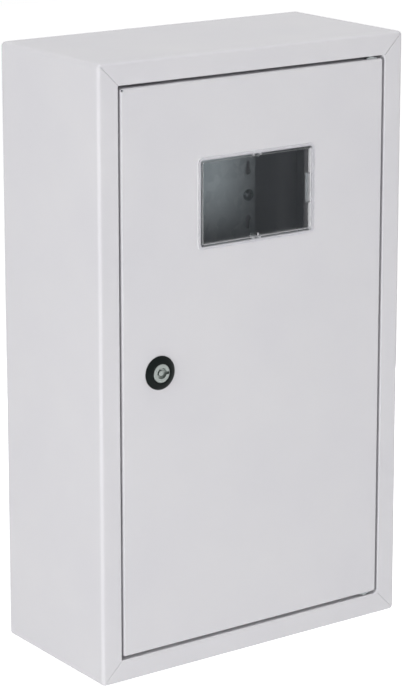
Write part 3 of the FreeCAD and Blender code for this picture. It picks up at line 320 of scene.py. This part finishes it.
def relief(tree, heights, bevel=0.0):
    """A relief of (height, depth in metres) pairs, on edges that a small bevel softens."""
    normal = add(tree, "ShaderNodeBevel", {"Radius": bevel}, samples=4) if bevel else None
    for height, depth in heights:
        inputs = {"Height": height, "Distance": depth}
        if normal:
            inputs["Normal"] = normal
        normal = add(tree, "ShaderNodeBump", inputs)
    return normal


def powder_coat(paint):
    """Polyester powder, sprayed on steel and baked: a satin grey with a faint orange peel."""
    material, tree, place = new_material("polyester_powder_coat")
    peel = add(tree, "ShaderNodeTexNoise", {"Vector": place, "Scale": 1 / paint.peel})
    grain = add(tree, "ShaderNodeTexNoise", {"Vector": place, "Scale": 1 / paint.grain})
    wave = add(tree, "ShaderNodeTexNoise", {"Vector": place, "Scale": 1 / paint.sheet_wave, "Detail": 0.0})
    patches = add(tree, "ShaderNodeTexNoise", {"Vector": place, "Scale": 1 / paint.thick_patch})
    thick = add(tree, "ShaderNodeMapRange", {"Value": patches, **NOISE_SPREAD})
    shader = add(tree, "ShaderNodeBsdfPrincipled", {
        "Base Color": add(tree, "ShaderNodeMix", (thick, paint.coat, paint.shade), data_type="RGBA"),
        "Roughness": add(tree, "ShaderNodeMapRange", {
            "Value": grain, **NOISE_SPREAD, "To Min": 0.4, "To Max": 0.5}),
        "Normal": relief(tree, ((wave, 0.25 * MM), (peel, 0.02 * MM), (grain, 0.008 * MM)), 0.3 * MM),
        "IOR": 1.5})
    add(tree, "ShaderNodeOutputMaterial", {"Surface": shader})
    return material


def near_edge(tree, place, rim):
    """1 on the window insert's faces within a rim of its outer edge, 0 further in."""
    low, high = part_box("window_insert")
    reach = (high - low) / 2 - Vector((rim, 0, rim))
    unit = add(tree, "ShaderNodeMapping", {
        "Vector": place, "Location": centre_of("window_insert"), "Scale": (reach.x, 1.0, reach.z)},
        vector_type="TEXTURE")
    axes = add(tree, "ShaderNodeSeparateXYZ", (unit,))
    sides = [add(tree, "ShaderNodeMath", (axes.outputs[axis],), operation="ABSOLUTE") for axis in ("X", "Z")]
    furthest = add(tree, "ShaderNodeMath", sides, operation="MAXIMUM")
    return add(tree, "ShaderNodeMath", (furthest, 1.0), operation="GREATER_THAN")


def grained_walls(tree, place, window):
    """The milky share of each face: some on the pane's side walls, most on the flange's hidden faces."""
    normal = add(tree, "ShaderNodeTexCoord").outputs["Normal"]
    backward = add(tree, "ShaderNodeSeparateXYZ", (normal,)).outputs["Y"]
    lean = add(tree, "ShaderNodeMath", (backward,), operation="ABSOLUTE")
    wall = add(tree, "ShaderNodeMapRange", {
        "Value": lean, "From Min": FLAT_LEAN, "From Max": UPRIGHT_LEAN, "To Max": window.wall_grain})
    hidden = add(tree, "ShaderNodeMapRange", {
        "Value": backward, "From Min": -FLAT_LEAN, "From Max": -UPRIGHT_LEAN,
        "To Max": window.hidden_grain})
    return add(tree, "ShaderNodeMix", (near_edge(tree, place, window.flange), wall, hidden))


def clear_polycarbonate(window):
    """Injection-moulded polycarbonate: clear and bright-edged, with faces that the mould grained milky.

    Light shines through it to the coat and the plate behind, dimmed where it meets the pane at a slant."""
    material, tree, place = new_material("clear_polycarbonate")
    flow = add(tree, "ShaderNodeTexNoise", {"Vector": place, "Scale": 1 / window.flow, "Detail": 1.0})
    glass = add(tree, "ShaderNodeBsdfPrincipled", {
        "Base Color": window.clear,
        "Roughness": 0.02,
        "IOR": 1.58,
        "Transmission Weight": 1.0,
        "Normal": relief(tree, ((flow, 0.015 * MM),))})
    through = add(tree, "ShaderNodeBsdfTranslucent", {"Color": window.milky})
    back = add(tree, "ShaderNodeBsdfDiffuse", {"Color": window.milky})
    milk = add(tree, "ShaderNodeMixShader", (window.milky_light, back, through))
    moulding = add(tree, "ShaderNodeMixShader", (grained_walls(tree, place, window), glass, milk))
    edge = near_edge(tree, place, window.rim)
    passed = add(tree, "ShaderNodeMix", (edge, window.pane_light, window.flange_light), data_type="RGBA")
    clear = add(tree, "ShaderNodeBsdfTransparent", {"Color": passed})
    path = add(tree, "ShaderNodeLightPath")
    lit = add(tree, "ShaderNodeMath", (path.outputs["Is Shadow Ray"], path.outputs["Is Diffuse Ray"]),
              operation="MAXIMUM")
    shader = add(tree, "ShaderNodeMixShader", (lit, moulding, clear))
    add(tree, "ShaderNodeOutputMaterial", {"Surface": shader})
    return material


def black_polyamide(lock):
    """Glass-filled polyamide from a spark-eroded mould: black with a soft sheen.

    Behind the door the barrel carries its moulded thread, whose turns are drawn as rings."""
    material, tree, place = new_material("black_polyamide")
    spark = add(tree, "ShaderNodeTexNoise", {"Vector": place, "Scale": 1 / lock.spark})
    turns = add(tree, "ShaderNodeTexWave", {"Vector": place, "Scale": WAVE_LENGTH / lock.pitch},
                wave_type="BANDS", bands_direction="Y").outputs["Fac"]
    depth = add(tree, "ShaderNodeSeparateXYZ", (place,)).outputs["Y"]
    behind = add(tree, "ShaderNodeMath", (depth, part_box("door_leaf")[0].y), operation="GREATER_THAN")
    thread = add(tree, "ShaderNodeMath", (turns, behind), operation="MULTIPLY")
    shader = add(tree, "ShaderNodeBsdfPrincipled", {
        "Base Color": lock.polyamide,
        "Roughness": add(tree, "ShaderNodeMapRange", {
            "Value": spark, **NOISE_SPREAD, "To Min": 0.34, "To Max": 0.46}),
        "Normal": relief(tree, ((thread, lock.thread), (spark, 0.02 * MM)), 0.2 * MM),
        "Specular IOR Level": 0.12,
        "IOR": 1.53})
    add(tree, "ShaderNodeOutputMaterial", {"Surface": shader})
    return material


def nickel_plating(lock, centre):
    """Nickel over a zinc die casting: a satin grey metal with fine turned rings."""
    material, tree, place = new_material("nickel_plated_die_casting")
    at_axis = add(tree, "ShaderNodeMapping", {"Vector": place, "Location": -centre})
    rings = add(tree, "ShaderNodeTexWave", {
        "Vector": at_axis, "Scale": WAVE_LENGTH / lock.ring, "Distortion": 0.4},
        wave_type="RINGS", rings_direction="Y").outputs["Fac"]
    cast = add(tree, "ShaderNodeTexNoise", {"Vector": place, "Scale": 1 / lock.cast})
    shader = add(tree, "ShaderNodeBsdfPrincipled", {
        "Base Color": lock.nickel,
        "Metallic": 1.0,
        "Roughness": add(tree, "ShaderNodeMapRange", {
            "Value": cast, **NOISE_SPREAD, "To Min": 0.3, "To Max": 0.44}),
        "Normal": relief(tree, ((rings, 0.01 * MM), (cast, 0.03 * MM)), 0.15 * MM)})
    add(tree, "ShaderNodeOutputMaterial", {"Surface": shader})
    return material


def zinc_plating(metal):
    """Bright zinc plating, passivated: a cool metal with slightly duller patches."""
    ready = bpy.data.materials.get("zinc_plated_steel")
    if ready:
        return ready
    material, tree, place = new_material("zinc_plated_steel")
    patches = add(tree, "ShaderNodeTexNoise", {"Vector": place, "Scale": 1 / metal.passivated_patch})
    dull = add(tree, "ShaderNodeMapRange", {"Value": patches, **NOISE_SPREAD})
    rub = add(tree, "ShaderNodeTexNoise", {"Vector": place, "Scale": 1 / metal.rub})
    shader = add(tree, "ShaderNodeBsdfPrincipled", {
        "Base Color": add(tree, "ShaderNodeMix", (dull, metal.zinc, metal.passivated), data_type="RGBA"),
        "Metallic": 1.0,
        "Roughness": add(tree, "ShaderNodeMapRange", {
            "Value": rub, **NOISE_SPREAD, "To Min": 0.28, "To Max": 0.42}),
        "Normal": relief(tree, ((rub, 0.015 * MM),), 0.15 * MM)})
    add(tree, "ShaderNodeOutputMaterial", {"Surface": shader})
    return material


def galvanised_sheet(metal):
    """Hot-dip galvanised sheet: grey crystals of zinc, each with its own tone, dulled by their oxide."""
    material, tree, place = new_material("galvanised_sheet_steel")
    crystal = add(tree, "ShaderNodeTexVoronoi", {"Vector": place, "Scale": 1 / metal.spangle})
    tone = add(tree, "ShaderNodeSeparateColor", (crystal.outputs["Color"],))
    scuff = add(tree, "ShaderNodeTexNoise", {"Vector": place, "Scale": 1 / metal.scuff})
    shader = add(tree, "ShaderNodeBsdfPrincipled", {
        "Base Color": add(tree, "ShaderNodeMix", (tone.outputs["Red"], metal.galvanised, metal.dark_spangle),
                          data_type="RGBA"),
        "Metallic": 0.1,
        "Roughness": add(tree, "ShaderNodeMapRange", {
            "Value": tone.outputs["Green"], "To Min": 0.42, "To Max": 0.58}),
        "Normal": relief(tree, ((scuff, 0.01 * MM),), 0.2 * MM)})
    add(tree, "ShaderNodeOutputMaterial", {"Surface": shader})
    return material


def drawn_brass(metal):
    """Drawn brass: warm, streaked along the bar, a little tarnished."""
    material, tree, place = new_material("drawn_brass")
    drawn = add(tree, "ShaderNodeMapping", {
        "Vector": place, "Scale": (metal.streak / metal.streak_length, 1.0, 1.0)})
    streak = add(tree, "ShaderNodeTexNoise", {"Vector": drawn, "Scale": 1 / metal.streak})
    patches = add(tree, "ShaderNodeTexNoise", {"Vector": place, "Scale": 1 / metal.tarnish_patch})
    dull = add(tree, "ShaderNodeMapRange", {"Value": patches, **NOISE_SPREAD, "To Max": 0.8})
    shader = add(tree, "ShaderNodeBsdfPrincipled", {
        "Base Color": add(tree, "ShaderNodeMix", (dull, metal.brass, metal.tarnish), data_type="RGBA"),
        "Metallic": 1.0,
        "Roughness": add(tree, "ShaderNodeMapRange", {
            "Value": streak, **NOISE_SPREAD, "To Min": 0.26, "To Max": 0.42}),
        "Normal": relief(tree, ((streak, 0.012 * MM),), 0.25 * MM)})
    add(tree, "ShaderNodeOutputMaterial", {"Surface": shader})
    return material


def copper_flash(metal):
    """A thin copper flash on a steel weld stud: warm, dulled by handling."""
    material, tree, place = new_material("copper_flashed_steel")
    patches = add(tree, "ShaderNodeTexNoise", {"Vector": place, "Scale": 1 / metal.handled_patch})
    dull = add(tree, "ShaderNodeMapRange", {"Value": patches, **NOISE_SPREAD, "To Max": 0.5})
    shader = add(tree, "ShaderNodeBsdfPrincipled", {
        "Base Color": add(tree, "ShaderNodeMix", (dull, metal.copper, metal.tarnish), data_type="RGBA"),
        "Metallic": 1.0,
        "Roughness": add(tree, "ShaderNodeMapRange", {
            "Value": dull, **NOISE_SPREAD, "To Min": 0.34, "To Max": 0.5})})
    add(tree, "ShaderNodeOutputMaterial", {"Surface": shader})
    return material


def moulded_polyamide(name, tint, moulded):
    """Moulded polyamide: an even colour with a fine matt grain."""
    material, tree, place = new_material(name)
    grain = add(tree, "ShaderNodeTexNoise", {"Vector": place, "Scale": 1 / moulded.grain})
    shader = add(tree, "ShaderNodeBsdfPrincipled", {
        "Base Color": tint,
        "Roughness": add(tree, "ShaderNodeMapRange", {
            "Value": grain, **NOISE_SPREAD, "To Min": 0.42, "To Max": 0.54}),
        "Normal": relief(tree, ((grain, 0.02 * MM),), 0.3 * MM),
        "IOR": 1.53})
    add(tree, "ShaderNodeOutputMaterial", {"Surface": shader})
    return material


def moulded_rubber(moulded):
    """Moulded rubber: matt dark grey with a dusty bloom."""
    material, tree, place = new_material("moulded_rubber")
    grain = add(tree, "ShaderNodeTexNoise", {"Vector": place, "Scale": 1 / moulded.grain})
    patches = add(tree, "ShaderNodeTexNoise", {"Vector": place, "Scale": 1 / moulded.bloom_patch})
    dusty = add(tree, "ShaderNodeMapRange", {"Value": patches, **NOISE_SPREAD, "To Max": 0.35})
    shader = add(tree, "ShaderNodeBsdfPrincipled", {
        "Base Color": add(tree, "ShaderNodeMix", (dusty, moulded.rubber, moulded.bloom), data_type="RGBA"),
        "Roughness": add(tree, "ShaderNodeMapRange", {
            "Value": grain, **NOISE_SPREAD, "To Min": 0.62, "To Max": 0.78}),
        "Normal": relief(tree, ((grain, 0.03 * MM),), 0.4 * MM),
        "IOR": 1.52})
    add(tree, "ShaderNodeOutputMaterial", {"Surface": shader})
    return material


def finish(nodes, material):
    """Give CAD nodes a finish in place of their plain one."""
    for node in nodes:
        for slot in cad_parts[node].material_slots:
            slot.material = material


def piece_from(bm, name, body, material):
    """A smooth-shaded piece from a bmesh, riding on a body."""
    bmesh.ops.recalc_face_normals(bm, faces=bm.faces)
    mesh = bpy.data.meshes.new(name)
    bm.to_mesh(mesh)
    bm.free()
    mesh.shade_smooth()
    mesh.set_sharp_from_angle(angle=CREASE)
    mesh.materials.append(material)
    piece = bpy.data.objects.new(name, mesh)
    bpy.context.scene.collection.objects.link(piece)
    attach(piece, body)
    return piece


def standing(root, toward):
    """The matrix that stands +Z on a point, toward the back with 1 and toward the door with -1."""
    return Matrix.Translation(root) @ Matrix.Rotation(-toward * TAU / 4, 4, "X")


def ring(bm, stand, radii, height):
    """A closed ring of points round +Z at a height, one for each radius, stood in its place."""
    points = []
    for index, radius in enumerate(radii):
        turn = TAU * index / len(radii)
        place = Vector((radius * math.cos(turn), radius * math.sin(turn), height))
        points.append(bm.verts.new(stand @ place))
    return points


def skin(bm, rings):
    """The faces between closed rings of points, from each one to the next."""
    for lower, upper in zip(rings, rings[1:]):
        for index in range(len(lower)):
            bm.faces.new((lower[index - 1], lower[index], upper[index], upper[index - 1]))


def thread_radius(turn, height, radius, pitch):
    """The radius of a helical thread at an angle round it and a height along it."""
    phase = (height / pitch - turn / TAU) % 1
    flank = min(1.0, (1 - abs(2 * phase - 1)) / (1 - THREAD_CREST))
    return radius - THREAD_DEPTH * pitch * (1 - flank)


def threaded_stud(node, body, radius, pitch, stud, toward, material):
    """A welded stud with a real thread, in place of the plain CAD one."""
    low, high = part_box(node)
    total = high.y - low.y
    flare_radius = (high.x - low.x) / 2
    root = centre_of(node)
    root.y = low.y if toward > 0 else high.y

    def radius_at(turn, height):
        if height < stud.flare:
            fillet = (flare_radius - radius) * math.sqrt(height / stud.flare)
            return max(radius, flare_radius - fillet)
        tip = radius - stud.tip + (total - height)
        return min(thread_radius(turn, height, radius, pitch), tip)

    steps = round(total / pitch) * RINGS_PER_TURN
    turns = [TAU * index / stud.segments for index in range(stud.segments)]
    stand = standing(root, toward)
    bm = bmesh.new()
    rings = []
    for step in range(steps + 1):
        height = total * step / steps
        rings.append(ring(bm, stand, [radius_at(turn, height) for turn in turns], height))
    skin(bm, rings)
    bm.faces.new(rings[0])
    bm.faces.new(rings[-1])
    piece = piece_from(bm, node + "_threaded", body, material)
    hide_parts(node)


def bracket_welds(bracket, stud, material):
    """Small craters with a raised rim, where a bracket's foot was spot-welded to the sheet."""
    low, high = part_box(bracket)
    middle = centre_of(bracket)
    inward = -1 if middle.x > 0 else 1
    edge = low.x if inward > 0 else high.x
    bm = bmesh.new()
    for side in (1, -1):
        place = Vector((edge + inward * stud.weld_inset, high.y - stud.bracket,
                        middle.z + side * (high.z - low.z) / 4))
        stand = standing(place, -1)
        rings = [ring(bm, stand, [stud.weld_radius * wide] * WELD_SEGMENTS, stud.weld_rim * rise)
                 for wide, rise in WELD_PROFILE]
        bottom = bm.verts.new(stand @ Vector((0, 0, stud.weld_rim * WELD_MIDDLE)))
        skin(bm, rings)
        for index in range(WELD_SEGMENTS):
            bm.faces.new((rings[-1][index - 1], rings[-1][index], bottom))
        bm.faces.new(rings[0])
    piece_from(bm, bracket + "_welds", "cabinet", material)


class ENCLOSURE_OT_sheet_metal(bpy.types.Operator):
    """Powder-coat the sides, the back panel, the hinge brackets and the door"""

    bl_idname = "enclosure.sheet_metal"
    bl_label = "Sheet Metal"

    def execute(self, context):
        coat = powder_coat(context.scene.enclosure_paint)
        finish(BODY_SIDES + ["back_panel", "upper_hinge_bracket", "lower_hinge_bracket", "door_leaf"], coat)
        return {"FINISHED"}


class ENCLOSURE_OT_window(bpy.types.Operator):
    """Make the window insert clear"""

    bl_idname = "enclosure.window"
    bl_label = "Window"

    def execute(self, context):
        finish(["window_insert"], clear_polycarbonate(context.scene.enclosure_window))
        return {"FINISHED"}


class ENCLOSURE_OT_lock(bpy.types.Operator):
    """Finish the lock's housing, plug, nut, cam and screw"""

    bl_idname = "enclosure.lock"
    bl_label = "Lock"

    def execute(self, context):
        lock = context.scene.enclosure_lock
        finish(["lock_housing"], black_polyamide(lock))
        finish(["lock_plug"], nickel_plating(lock, centre_of("lock_plug")))
        finish(["lock_nut", "lock_cam", "cam_screw"], zinc_plating(context.scene.enclosure_metal))
        return {"FINISHED"}


class ENCLOSURE_OT_hinges(bpy.types.Operator):
    """Finish the hinge pins, wear plates and washers"""

    bl_idname = "enclosure.hinges"
    bl_label = "Hinges"

    def execute(self, context):
        finish(HINGE_PARTS + ["hinge_washers"], zinc_plating(context.scene.enclosure_metal))
        return {"FINISHED"}


class ENCLOSURE_OT_meter_plate(bpy.types.Operator):
    """Finish the meter plate, its brackets and screws, and add the brackets' weld spots"""

    bl_idname = "enclosure.meter_plate"
    bl_label = "Meter Plate"

    def execute(self, context):
        metal = context.scene.enclosure_metal
        sheet = galvanised_sheet(metal)
        brackets = PLATE_BRACKETS + RAIL_BRACKETS
        finish(["meter_plate"] + brackets, sheet)
        finish(["meter_plate_screws"], zinc_plating(metal))
        for bracket in brackets:
            bracket_welds(bracket, context.scene.enclosure_stud, sheet)
        return {"FINISHED"}


class ENCLOSURE_OT_rail(bpy.types.Operator):
    """Finish the device rail and its screws"""

    bl_idname = "enclosure.rail"
    bl_label = "Device Rail"

    def execute(self, context):
        finish(["din_rail", "din_rail_screws"], zinc_plating(context.scene.enclosure_metal))
        return {"FINISHED"}


class ENCLOSURE_OT_terminal_bars(bpy.types.Operator):
    """Finish the neutral and earth bars, their screws and holders"""

    bl_idname = "enclosure.terminal_bars"
    bl_label = "Terminal Bars"

    def execute(self, context):
        metal = context.scene.enclosure_metal
        moulded = context.scene.enclosure_moulded
        finish(["neutral_bar", "earth_bar"], drawn_brass(metal))
        finish(["neutral_bar_screws", "earth_bar_screws", "bar_holder_screws"], zinc_plating(metal))
        finish(["neutral_bar_holders"], moulded_polyamide("blue_polyamide", moulded.blue, moulded))
        finish(["earth_bar_holders"], moulded_polyamide("green_polyamide", moulded.green, moulded))
        return {"FINISHED"}


class ENCLOSURE_OT_earth_studs(bpy.types.Operator):
    """Thread the two earth studs and finish their nuts"""

    bl_idname = "enclosure.earth_studs"
    bl_label = "Earth Studs"

    def execute(self, context):
        metal = context.scene.enclosure_metal
        stud = context.scene.enclosure_stud
        copper = copper_flash(metal)
        threaded_stud("body_earth_stud", "cabinet", stud.body_radius, stud.body_pitch, stud, -1, copper)
        threaded_stud("door_earth_stud", "door", stud.door_radius, stud.door_pitch, stud, 1, copper)
        finish(["body_earth_nut", "door_earth_nut"], zinc_plating(metal))
        return {"FINISHED"}


class ENCLOSURE_OT_grommets(bpy.types.Operator):
    """Finish the cable grommets in the bottom"""

    bl_idname = "enclosure.grommets"
    bl_label = "Cable Grommets"

    def execute(self, context):
        finish(GROMMETS, moulded_rubber(context.scene.enclosure_moulded))
        return {"FINISHED"}


def seen(tree):
    """1 for rays from the camera and for those that mirrors and glass send on, else 0."""
    path = add(tree, "ShaderNodeLightPath")
    either = add(tree, "ShaderNodeMath", (path.outputs["Is Camera Ray"], path.outputs["Is Glossy Ray"]),
                 operation="MAXIMUM")
    return add(tree, "ShaderNodeMath", (either, path.outputs["Is Transmission Ray"]), operation="MAXIMUM")


def flat_sheet(name, corners, material):
    """One flat face of the studio, which is no part of the cabinet."""
    mesh = bpy.data.meshes.new(name)
    mesh.from_pydata(corners, [], [range(len(corners))])
    mesh.materials.append(material)
    sheet = bpy.data.objects.new(name, mesh)
    bpy.context.scene.collection.objects.link(sheet)
    sheet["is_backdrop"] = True
    return sheet


def studio_paper(stage):
    """Studio paper: it keeps the cabinet's soft shadow, turns white further off, and is clear from below."""
    material, tree, place = new_material("studio_paper")
    paper = add(tree, "ShaderNodeBsdfDiffuse", {"Color": stage.floor})
    away = add(tree, "ShaderNodeVectorMath", (place,), operation="LENGTH")
    glow = add(tree, "ShaderNodeMapRange", {
        "Value": away, "From Max": stage.glow_reach, "To Min": stage.near_glow, "To Max": stage.far_glow},
        interpolation_type="SMOOTHSTEP")
    lift = add(tree, "ShaderNodeMath", (seen(tree), glow), operation="MULTIPLY")
    top = add(tree, "ShaderNodeAddShader", (paper, add(tree, "ShaderNodeEmission", {"Strength": lift})))
    below = add(tree, "ShaderNodeNewGeometry").outputs["Backfacing"]
    clear = add(tree, "ShaderNodeBsdfTransparent")
    shader = add(tree, "ShaderNodeMixShader", (below, top, clear))
    add(tree, "ShaderNodeOutputMaterial", {"Surface": shader})
    return material


def studio_floor(stage):
    """The floor, a little below the hung cabinet."""
    half = stage.floor_size / 2
    corners = [(-half, -half, 0), (half, -half, 0), (half, half, 0), (-half, half, 0)]
    floor = flat_sheet("floor", corners, studio_paper(stage))
    floor.location = (0, 0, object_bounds()[0].z - stage.drop)


def dark_card(stage):
    """A grey glowing card, seen only in mirrors and glass: a painted reflection that the window shows in
    place of the white studio.
    """
    material, tree, _ = new_material("dark_card")
    bounces = add(tree, "ShaderNodeLightPath").outputs["Glossy Depth"]
    mirrored = add(tree, "ShaderNodeMath", (bounces, 0.5), operation="GREATER_THAN")
    clear = add(tree, "ShaderNodeBsdfTransparent")
    # The card glows its grey colour on rays that a mirror or glass sent on: a painted reflection, not light
    # that it catches
    card = add(tree, "ShaderNodeEmission", {"Color": stage.card})
    shader = add(tree, "ShaderNodeMixShader", (mirrored, clear, card))
    add(tree, "ShaderNodeOutputMaterial", {"Surface": shader})
    return material


def window_card(stage):
    """The glowing card whose painted reflection the window shows."""
    right = stage.card_width / 2
    up = stage.card_height / 2
    corners = [(-right, 0, -up), (right, 0, -up), (right, 0, up), (-right, 0, up)]
    card = flat_sheet("window_card", corners, dark_card(stage))
    card.location = stage.card_place
    card.visible_camera = False
    card.visible_diffuse = False
    card.visible_volume_scatter = False
    card.visible_shadow = False


def studio_world(stage):
    """A white world that lights at a plain level and is white in the picture."""
    world = bpy.data.worlds.new("studio_world")
    world.use_nodes = True
    tree = world.node_tree
    tree.nodes.clear()
    level = add(tree, "ShaderNodeMapRange", {"Value": seen(tree), "To Min": stage.world})
    background = add(tree, "ShaderNodeBackground", {"Color": srgb("FFFFFF"), "Strength": level})
    add(tree, "ShaderNodeOutputWorld", {"Surface": background})
    return world


def soft_light(name, watts, size, target, offset):
    """A square soft light that faces a point, hidden from the camera and from gloss."""
    data = bpy.data.lights.new(name, "AREA")
    data.energy = watts
    data.size = size
    light = bpy.data.objects.new(name, data)
    light.location = target + offset
    light.rotation_mode = "QUATERNION"
    light.rotation_quaternion = (-offset).to_track_quat("-Z", "Y")
    light.visible_camera = False
    light.visible_glossy = False
    bpy.context.scene.collection.objects.link(light)


def studio_camera(stage):
    """The camera at the photograph's angle, with its axis on a point of the door."""
    level = math.cos(stage.elevation)
    back = Vector((math.sin(stage.azimuth) * level, -math.cos(stage.azimuth) * level,
                   math.sin(stage.elevation)))
    data = bpy.data.cameras.new("camera")
    data.sensor_width = stage.sensor
    data.lens = stage.lens
    data.shift_y = stage.shift
    camera = bpy.data.objects.new("camera", data)
    camera.location = stage.look_at + back * stage.distance
    camera.rotation_mode = "QUATERNION"
    camera.rotation_quaternion = (-back).to_track_quat("-Z", "Y")
    bpy.context.scene.collection.objects.link(camera)
    return camera


class ENCLOSURE_OT_stage(bpy.types.Operator):
    """Make the floor, the glowing card that paints the window's reflection, the world, the lights and the
    camera
    """

    bl_idname = "enclosure.stage"
    bl_label = "Stage"

    def execute(self, context):
        scene = context.scene
        stage = scene.enclosure_stage
        low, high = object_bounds()
        middle = (low + high) / 2
        studio_floor(stage)
        window_card(stage)
        scene.world = studio_world(stage)
        for side in ("left", "front", "top", "back"):
            soft_light(side + "_light", getattr(stage, side), getattr(stage, side + "_size"),
                       middle, getattr(stage, side + "_place"))
        scene.camera = studio_camera(stage)
        scene.view_settings.view_transform = "Standard"
        return {"FINISHED"}


class ENCLOSURE_PT_pieces(bpy.types.Panel):
    """The enclosure's pieces"""

    bl_idname = "ENCLOSURE_PT_pieces"
    bl_label = "Steel Wall Enclosure"
    bl_space_type = "VIEW_3D"
    bl_region_type = "UI"
    bl_category = "Enclosure"

    def draw(self, context):
        column = self.layout.column()
        for settings, group in SETTINGS.items():
            box = column.box()
            box.label(text=group.__doc__)
            for name in group.__annotations__:
                box.prop(getattr(context.scene, settings), name)
        for operator in OPERATORS:
            column.operator(operator.bl_idname)


OPERATORS = (
    ENCLOSURE_OT_sheet_metal,
    ENCLOSURE_OT_window,
    ENCLOSURE_OT_lock,
    ENCLOSURE_OT_hinges,
    ENCLOSURE_OT_meter_plate,
    ENCLOSURE_OT_rail,
    ENCLOSURE_OT_terminal_bars,
    ENCLOSURE_OT_earth_studs,
    ENCLOSURE_OT_grommets,
    ENCLOSURE_OT_stage,
)
CLASSES = (*SETTINGS.values(), *OPERATORS, ENCLOSURE_PT_pieces)


def register():
    """Register the classes and hang the settings on the scene."""
    for cls in CLASSES:
        bpy.utils.register_class(cls)
    for name, group in SETTINGS.items():
        setattr(bpy.types.Scene, name, PointerProperty(type=group))


def unregister():
    """Take the settings and the classes away again."""
    for name in SETTINGS:
        delattr(bpy.types.Scene, name)
    for cls in reversed(CLASSES):
        bpy.utils.unregister_class(cls)


def main():
    """Make every piece in order."""
    register()
    bpy.ops.enclosure.sheet_metal()
    bpy.ops.enclosure.window()
    bpy.ops.enclosure.lock()
    bpy.ops.enclosure.hinges()
    bpy.ops.enclosure.meter_plate()
    bpy.ops.enclosure.rail()
    bpy.ops.enclosure.terminal_bars()
    bpy.ops.enclosure.earth_studs()
    bpy.ops.enclosure.grommets()
    bpy.ops.enclosure.stage()


if __name__ == "__main__":
    main()
